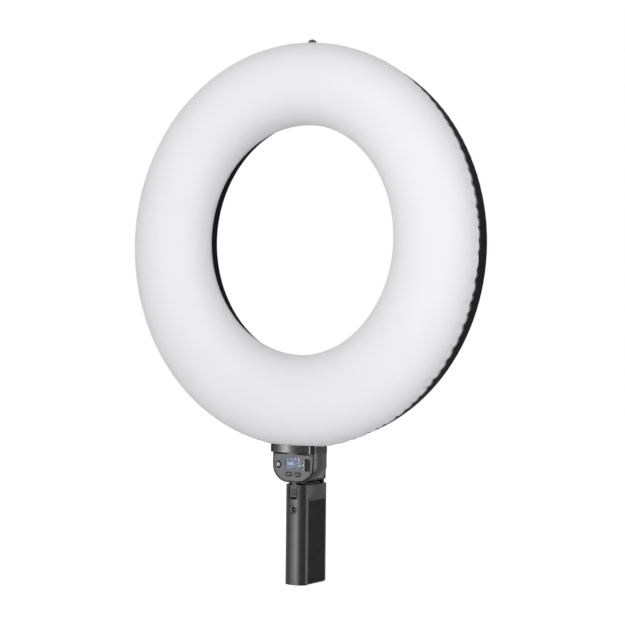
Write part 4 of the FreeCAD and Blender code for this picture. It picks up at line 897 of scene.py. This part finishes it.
@dataclass
class ControlHead:
    """The collar, the D-shaped housing with its panel and everything on the panel."""

    panel_front: float = -25.25
    panel_corner: float = 19.3
    frame_outside: float = 0.12
    frame_depth: float = 1.4
    display: tuple[float, float] = (0.6, 140.15)
    display_size: tuple[float, float] = (21.5, 11.6)
    glass: tuple[float, float, float] = (0.925, 1.45, 0.25)
    backlight: tuple[float, float, float] = (1.86, 0.2, 0.04)
    figure_depth: float = 1.72
    figure_half: float = 0.02
    bar_depth: float = 1.73
    digit_height: float = 0.73
    power: tuple[float, float] = (-19.7, 137.9)
    ovals: tuple[float, float] = (-5.15, 6.8)
    oval_z: float = 127.4
    oval_stretch: float = 2.05
    wheel_centre: tuple[float, float, float] = (20.55, -17.95, 138.6)
    wheel_radius: float = 8.5
    wheel_half: float = 2.85
    ribs: int = 40
    rib_depth: float = 0.55
    mark_x: float = 15.2
    mark_size: float = 0.5
    bar: tuple[float, float] = (136.3, 140.1)
    dots: tuple[float, float] = (142.8, 133.6)
    dot_radius: float = 0.45

    def on_panel(self, profile: Profile, x: float, z: float, steps: int, stretch: float = 0.0) -> Shape:
        """Turns a profile, whose heights count from the panel's front, round an axis across the panel."""
        front = [(radius, self.panel_front + height) for radius, height in profile]
        return turned(front, steps, "Y", (x, 0, z), stretch)

    def panel_frame(self) -> None:
        """The black frame that wraps the edge of the grey front plate."""
        low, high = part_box("control_panel")
        half, floor, top = high.x / MM + self.frame_outside, low.z / MM - self.frame_outside, high.z / MM
        corner = self.panel_corner + self.frame_outside
        places = [(-half, top), (half, top)]
        arc = [(half - corner + corner * out, floor + corner - corner * down) for out, down in quarter(16)]
        places += arc + [(-x, z) for x, z in reversed(arc)]
        shape = bmesh.new()
        front = self.panel_front
        face = shape.faces.new([shape.verts.new((x, front + self.frame_depth, z)) for x, z in places])
        for width, height in ((0.2, 0.1), (0.5, -0.1), (0.6, -0.24), (0.6, -0.34), (0.08, -0.3), (0.05, 0.05)):
            bmesh.ops.inset_region(shape, faces=[face], thickness=width, depth=0.0, use_boundary=True,
                                   use_even_offset=True)
            for vert in face.verts:
                vert.co.y = front + height
        bmesh.ops.delete(shape, geom=[face], context="FACES_ONLY")
        make(shape, "panel_frame", GLOSS_ABS, "head", "gloss_black", sharp=50.0)

    def power_button(self) -> None:
        """The round button: a glossy ring, a dished pale key with its dark rim and its dark dot."""
        ring = [(3.32, 1.2), (4.4, 1.2), (4.4, -0.05), (4.25, -0.28), (3.95, -0.4), (3.6, -0.33), (3.38, -0.15),
                (3.32, 0.2), (3.32, 1.2)]
        key = [(0.0, -0.4), (1.0, -0.42), (1.7, -0.52), (2.1, -0.6), (2.24, -0.5), (2.25, -0.2), (2.25, 0.1),
               (3.2, 0.3), (3.2, 2.2), (0.0, 2.2)]
        rim = [(2.27, 0.2), (2.27, -0.5), (2.45, -0.68), (2.8, -0.74), (3.08, -0.64), (3.2, -0.4), (3.2, 0.2),
               (2.27, 0.2)]
        dot = [(0.0, -0.52), (0.7, -0.52), (0.88, -0.47), (0.92, -0.3), (0.0, -0.3)]
        for profile, steps, name, finish, *places in (
            (ring, 64, "power_ring", GLOSS_ABS, "head", "gloss_black", "power_bezel"),
            (key, 64, "power_key_dished", BUTTON_PAINT, "power_key", "button_grey", "power_button"),
            (rim, 64, "power_key_rim", GLOSS_ABS, "power_key", "gloss_black"),
            (dot, 32, "power_key_dot", GLOSS_ABS, "power_key", "gloss_black"),
        ):
            make(self.on_panel(profile, *self.power, steps), name, finish, *places)

    def oval_buttons(self) -> None:
        """The two oval keys in their dark rims."""
        key = [(0.0, -0.5), (0.8, -0.52), (1.25, -0.6), (1.5, -0.56), (1.62, -0.4), (1.65, -0.1), (1.65, 2.0),
               (0.0, 2.0)]
        rim = [(1.78, 1.2), (2.75, 1.2), (2.75, -0.05), (2.62, -0.22), (2.35, -0.3), (2.05, -0.24), (1.84, -0.1),
               (1.78, 0.2), (1.78, 1.2)]
        rims = bmesh.new()
        for x, side in zip(self.ovals, ("left", "right")):
            shape = self.on_panel(key, x, self.oval_z, 56, self.oval_stretch)
            make(shape, f"{side}_key_dished", CAP_RUBBER, f"{side}_key", "button_grey", f"{side}_button")
            join(rims, self.on_panel(rim, x, self.oval_z, 56, self.oval_stretch))
        make(rims, "oval_key_rims", GLOSS_ABS, "head", "gloss_black", "oval_rims")

    def thumbwheel(self) -> None:
        """The ribbed wheel that turns in the panel's slot."""
        r, half = self.wheel_radius, self.wheel_half
        side = [(1.55, -half + 0.5), (3.0, -half + 0.5), (3.4, -half), (r - 0.7, -half), (r - 0.25, -half + 0.15),
                (r, -half + 0.55), (r, -0.8), (r - 0.12, 0.0)]
        profile = side + [(radius, -height) for radius, height in reversed(side[:-1])] + [side[0]]
        shape = turned(profile, self.ribs * 6, "X")
        for vert in shape.verts:
            radius = math.hypot(vert.co.y, vert.co.z)
            if radius > r - 0.5:
                wave = 0.5 + 0.5 * math.cos(self.ribs * math.atan2(vert.co.y, vert.co.z))
                drawn = self.rib_depth * (1 - wave ** 0.6)
                vert.co.y *= (radius - drawn) / radius
                vert.co.z *= (radius - drawn) / radius
        bmesh.ops.translate(shape, verts=shape.verts, vec=self.wheel_centre)
        make(shape, "thumbwheel_ribbed", WHEEL_NYLON, "dial", "wheel_black", "thumbwheel", sharp=40.0)

    def figures(self, text: str, x: float, z: float, height: float, name: str) -> None:
        """Plain figures on the display, as a thin mesh.

        Args:
            text: digits only.
            x: the left end.
            z: the foot of the figures.
            height: their height.
            name: the piece's name.
        """
        curve = bpy.data.curves.new(name, "FONT")
        curve.body = text
        curve.size = height / self.digit_height
        curve.extrude = self.figure_half
        holder = bpy.data.objects.new(name + "_curve", curve)
        mesh = bpy.data.meshes.new_from_object(holder)
        bpy.data.objects.remove(holder)
        depth = self.panel_front + self.figure_depth
        mesh.transform(Matrix.Translation((x, depth, z)) @ Matrix.Rotation(math.pi / 2, 4, "X"))
        shape = bmesh.new()
        shape.from_mesh(mesh)
        bpy.data.meshes.remove(mesh)
        make(shape, name, DISPLAY_FIGURES, "head", "display_glow", sharp=30.0, recalculate=False)

    def lit_display(self) -> None:
        """The clear window, the lit panel behind it, its figures and the three bars at its right."""
        x, z = self.display
        w, h = self.display_size
        front = self.panel_front
        for (depth, thick, edge), less, name, finish, *places in (
            (self.glass, 0.0, "display_glass", CLEAR_WINDOW, "window_glass", "display_window"),
            (self.backlight, 0.2, "display_panel", DISPLAY_GLOW, "display_glow"),
        ):
            shape = add_block(bmesh.new(), (x, front + depth, z), (w - less, thick, h - less), edge)
            make(shape, name, finish, "head", *places, sharp=10.0)
        left = x - w / 2
        for text, along, up, height, name in (("16", 1.4, 3.2, 1.4, "top"), ("2", 12.2, 3.2, 1.4, "group"),
                                              ("5600", 1.6, -2.4, 3.4, "large"), ("0", 1.2, -4.9, 1.2, "low")):
            self.figures(text, left + along, z + up, height, "figures_" + name)
        bars = bmesh.new()
        for step, tall in ((-3.2, 1.2), (0.0, 0.5), (3.2, 1.2)):
            add_block(bars, (left + w - 3.2, front + self.bar_depth, z + step), (2.3, 2 * self.figure_half, tall))
        make(bars, "figures_level", DISPLAY_FIGURES, "head", "display_glow")

    def wheel_marks(self) -> None:
        """Two printed dots and a bar beside the wheel."""
        low, high = self.bar
        centre = (self.mark_x, self.panel_front + 0.085, (low + high) / 2)
        shape = add_block(bmesh.new(), centre, (self.mark_size, 0.23, high - low), 0.02)
        dot = [(0.0, -0.03), (self.dot_radius, -0.03), (self.dot_radius, 0.2), (0.0, 0.2)]
        for z in self.dots:
            join(shape, self.on_panel(dot, self.mark_x, z, 20))
        make(shape, "wheel_marks", PRINT_WHITE, "head", "panel_grey")

    def build(self) -> None:
        """Makes the visible pieces and dresses the carried-over nodes."""
        dress(COLLAR_ABS, "collar")
        dress(HOUSING_ABS, "control_housing")
        self.panel_frame()
        self.power_button()
        self.oval_buttons()
        self.lit_display()
        self.thumbwheel()
        self.wheel_marks()
        dress(PANEL_PAINT, "control_panel")
        dress(DOCK_ABS, "receiver_block", "dock_socket")
        dress(GREEN_BOARD, "control_board")
        dress(SWITCH_ABS, "tact_switches", "wheel_encoder", "display_module")
        dress(ZINC_STEEL, "wheel_axle", "collar_screws", "receiver_screws")


# Grip


@dataclass
class Grip:
    """The battery grip with its latch, inlet, pads and dock."""

    jack_z: float = 86.8
    half_width: float = 14.5
    nose: float = 10.1
    split: float = -14.0
    cover_low: float = 5.0
    cut_across: float = 1.2
    cut_up: float = 5.0
    oval_band: tuple[float, float] = (0.985, 1.01)
    latch_travel: float = 2.0

    def inlet(self) -> None:
        """The round power inlet with a rolled mouth."""
        low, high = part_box("dc_jack")
        back, front = high.y / MM, low.y / MM
        profile = [(2.8, back - 2.0), (2.8, front + 1.0), (3.0, front + 0.35), (3.3, front + 0.05), (3.7, front),
                   (4.05, front + 0.15), (4.2, front + 0.5), (4.2, back), (0.0, back), (0.0, back - 2.0),
                   (2.8, back - 2.0)]
        shape = turned(profile, 56, "Y", (0, 0, self.jack_z))
        make(shape, "dc_inlet", JACK_PBT, "grip", "jack_black", "dc_jack", sharp=30.0)

    def front_cover(self) -> None:
        """The grip's oval front moulding, its curved face cut finely and set back on the true oval."""
        shape = copied("grip_front_cover")
        cuts = [((k * self.cut_across, 0, 0), (1, 0, 0)) for k in range(-11, 12)]
        cuts += [((0, 0, self.cover_low + self.cut_up * k), (0, 0, 1)) for k in range(1, 22)]
        for place, normal in cuts:
            bmesh.ops.bisect_plane(shape, geom=[*shape.verts, *shape.edges, *shape.faces], dist=0.0005, plane_co=place,
                                   plane_no=normal)
        for vert in shape.verts:
            share = math.hypot(vert.co.x / self.half_width, (vert.co.y - self.split) / self.nose)
            if vert.co.y < self.split - 0.05 and self.oval_band[0] < share < self.oval_band[1]:
                vert.co.x /= share
                vert.co.y = self.split + (vert.co.y - self.split) / share
        make(shape, "grip_front_moulding", GRIP_ABS, "grip", "grip_black", "grip_front_cover", sharp=28.0)

    def latch_coil(self) -> None:
        """The spring under the latch slider, which the slider presses together."""
        coil = make(copied("latch_spring"), "latch_coil", NICKEL, "grip", "screw_steel", "latch_spring", sharp=60.0)
        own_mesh(coil)

    def build(self) -> None:
        """Makes the spring, inlet and front moulding, and dresses the carried-over nodes."""
        self.latch_coil()
        self.inlet()
        self.front_cover()
        dress(GRIP_ABS, "grip_body", "base_cap")
        dress(PAD_RUBBER, "grip_pad_left", "grip_pad_right")
        dress(LATCH_ABS, "latch_slider")
        dress(GASKET_RUBBER, "dock_gasket")
        dress(BLACK_STEEL, "base_screws", "jack_centre_pin")
        dress(DOCK_ABS, "dock_tongue", "contact_block")
        dress(BRASS, "contact_pins", "thread_insert")
        dress(SLEEVE_PVC, "battery_cells")
        dress(CRADLE_NYLON, "lower_cradle", "upper_cradle")
        dress(NICKEL, "cell_contacts")
        dress(BLACK_BOARD, "charge_board")


# Studio


@dataclass
class Studio:
    """The pale floor, the soft lamps and the camera at the photograph's angle, in metres and degrees."""

    eye: tuple[float, float, float] = (1.0988, -1.6346, 0.313)
    target: tuple[float, float, float] = (0.0, 0.0, 0.33)
    azimuth: float = 34.1
    aside: float = 0.396
    roll: float = 0.6
    lens: float = 97.92
    ambient: float = 0.42
    floor_glow: float = 0.75
    fibre: float = 2.5

    def camera(self) -> None:
        """Places the camera as it stood for the photograph."""
        lens = bpy.data.cameras.new("camera")
        lens.lens = self.lens
        lens.sensor_width = 36.0
        holder = bpy.data.objects.new("camera", lens)
        bpy.context.scene.collection.objects.link(holder)
        place = Matrix.Translation(self.eye)
        for degrees, axis in ((self.azimuth - self.aside, "Z"), (90.0, "X"), (self.roll, "Z")):
            place = place @ Matrix.Rotation(math.radians(degrees), 4, axis)
        holder.matrix_world = place
        bpy.context.scene.camera = holder

    def seen(self, tree: Tree) -> Node:
        """Adds the nodes that tell camera, glossy and transmission rays.

        Args:
            tree: the node tree that takes them.

        Returns:
            The node that is 1 for such rays.
        """
        path = add_node(tree, "LightPath").outputs
        either = add_node(tree, "Math", {0: path["Is Camera Ray"], 1: path["Is Glossy Ray"]}, operation="MAXIMUM")
        return add_node(tree, "Math", {0: either, 1: path["Is Transmission Ray"]}, operation="MAXIMUM")

    def world(self) -> None:
        """A white surround that is plain white to the eye and softer as a light."""
        world = bpy.data.worlds.new("studio")
        bpy.context.scene.world = world
        tree = emptied(world)
        seen = self.seen(tree)
        colour = add_node(tree, "Mix", {0: seen, 6: "#FDFDFF", 7: "#FFFFFF"}, data_type="RGBA")
        strength = add_node(tree, "MapRange", {"Value": seen, "To Min": self.ambient, "To Max": 1.0})
        shader = add_node(tree, "Background", {"Color": colour.outputs[2], "Strength": strength})
        add_node(tree, "OutputWorld", {"Surface": shader})

    def floor(self) -> None:
        """A wide pale floor that keeps a faint shadow."""
        shape = bmesh.new()
        bmesh.ops.create_circle(shape, cap_ends=True, segments=96, radius=3500.0)
        piece = settle(shape, "studio_floor", recalculate=False)
        material = bpy.data.materials.new("paper_backdrop")
        tree = emptied(material)
        place = add_node(tree, "TexCoord").outputs["Object"]
        fibres = add_node(tree, "TexNoise", {"Vector": place, "Scale": 1 / (self.fibre * MM), "Detail": 2.0})
        colour = add_node(tree, "Mix", {0: fibres, 6: "#F4F4F6", 7: "#F8F8FA"}, data_type="RGBA")
        paper = add_node(tree, "BsdfDiffuse", {"Color": colour.outputs[2]})
        strength = add_node(tree, "Math", {0: self.seen(tree), 1: self.floor_glow}, operation="MULTIPLY")
        glow = add_node(tree, "Emission", {"Color": "#FFFFFF", "Strength": strength})
        both = add_node(tree, "AddShader", {0: paper, 1: glow})
        add_node(tree, "OutputMaterial", {"Surface": both})
        piece.data.materials.append(material)
        piece.visible_glossy = piece.visible_shadow = False

    def lamp(self, name: str, azimuth: float, distance: float, height: float, size: tuple[float, float], level: float,
             card: bool = False, colour: str = "#FFFFFF") -> None:
        """A rectangular softbox that faces the object.

        Args:
            name: its name.
            azimuth: where it stands, in degrees from the front towards the object's right.
            distance: how far from the object, in metres.
            height: its height, in metres.
            size: width and height, in metres.
            level: its brightness, where 1 is white.
            card: whether it is only seen in reflections, as a reflector card is, or else only lights surfaces.
            colour: its sRGB colour.
        """
        light = bpy.data.lights.new(name, "AREA")
        light.shape = "RECTANGLE"
        light.size, light.size_y = size
        light.energy = level * math.pi * size[0] * size[1]
        light.color = linear(colour)[:3]
        holder = bpy.data.objects.new(name, light)
        holder.visible_diffuse, holder.visible_glossy = not card, card
        bpy.context.scene.collection.objects.link(holder)
        turn = math.radians(azimuth)
        holder.location = (math.sin(turn) * distance, -math.cos(turn) * distance, height)
        holder.rotation_mode = "QUATERNION"
        holder.rotation_quaternion = (Vector(self.target) - holder.location).to_track_quat("-Z", "Y")

    def build(self) -> None:
        """Sets the stage."""
        self.camera()
        self.world()
        self.floor()
        self.lamp("front_softbox", -8.0, 2.3, 0.33, (0.95, 2.4), 17.0, card=True)
        self.lamp("left_strip", -37.0, 2.3, 0.33, (0.1, 2.4), 40.0, card=True)
        self.lamp("right_strip", 116.0, 2.2, 0.33, (0.25, 2.4), 24.0, card=True)
        self.lamp("front_fill", 23.0, 2.6, 0.9, (1.6, 1.6), 4.15, colour="#FFFDFA")
        self.lamp("right_fill", 70.0, 2.6, 0.7, (1.4, 1.6), 0.55)
        bpy.context.scene.view_settings.view_transform = "Standard"


def main() -> None:
    """Builds the ring light from its cover down to its grip, then the studio."""
    for assembly in (FabricCover(), Ring(), ControlHead(), Grip()):
        log.info("building %s", type(assembly).__name__)
        assembly.build()
    Studio().build()
    bpy.context.view_layer.update()


if __name__ == "__main__":
    main()
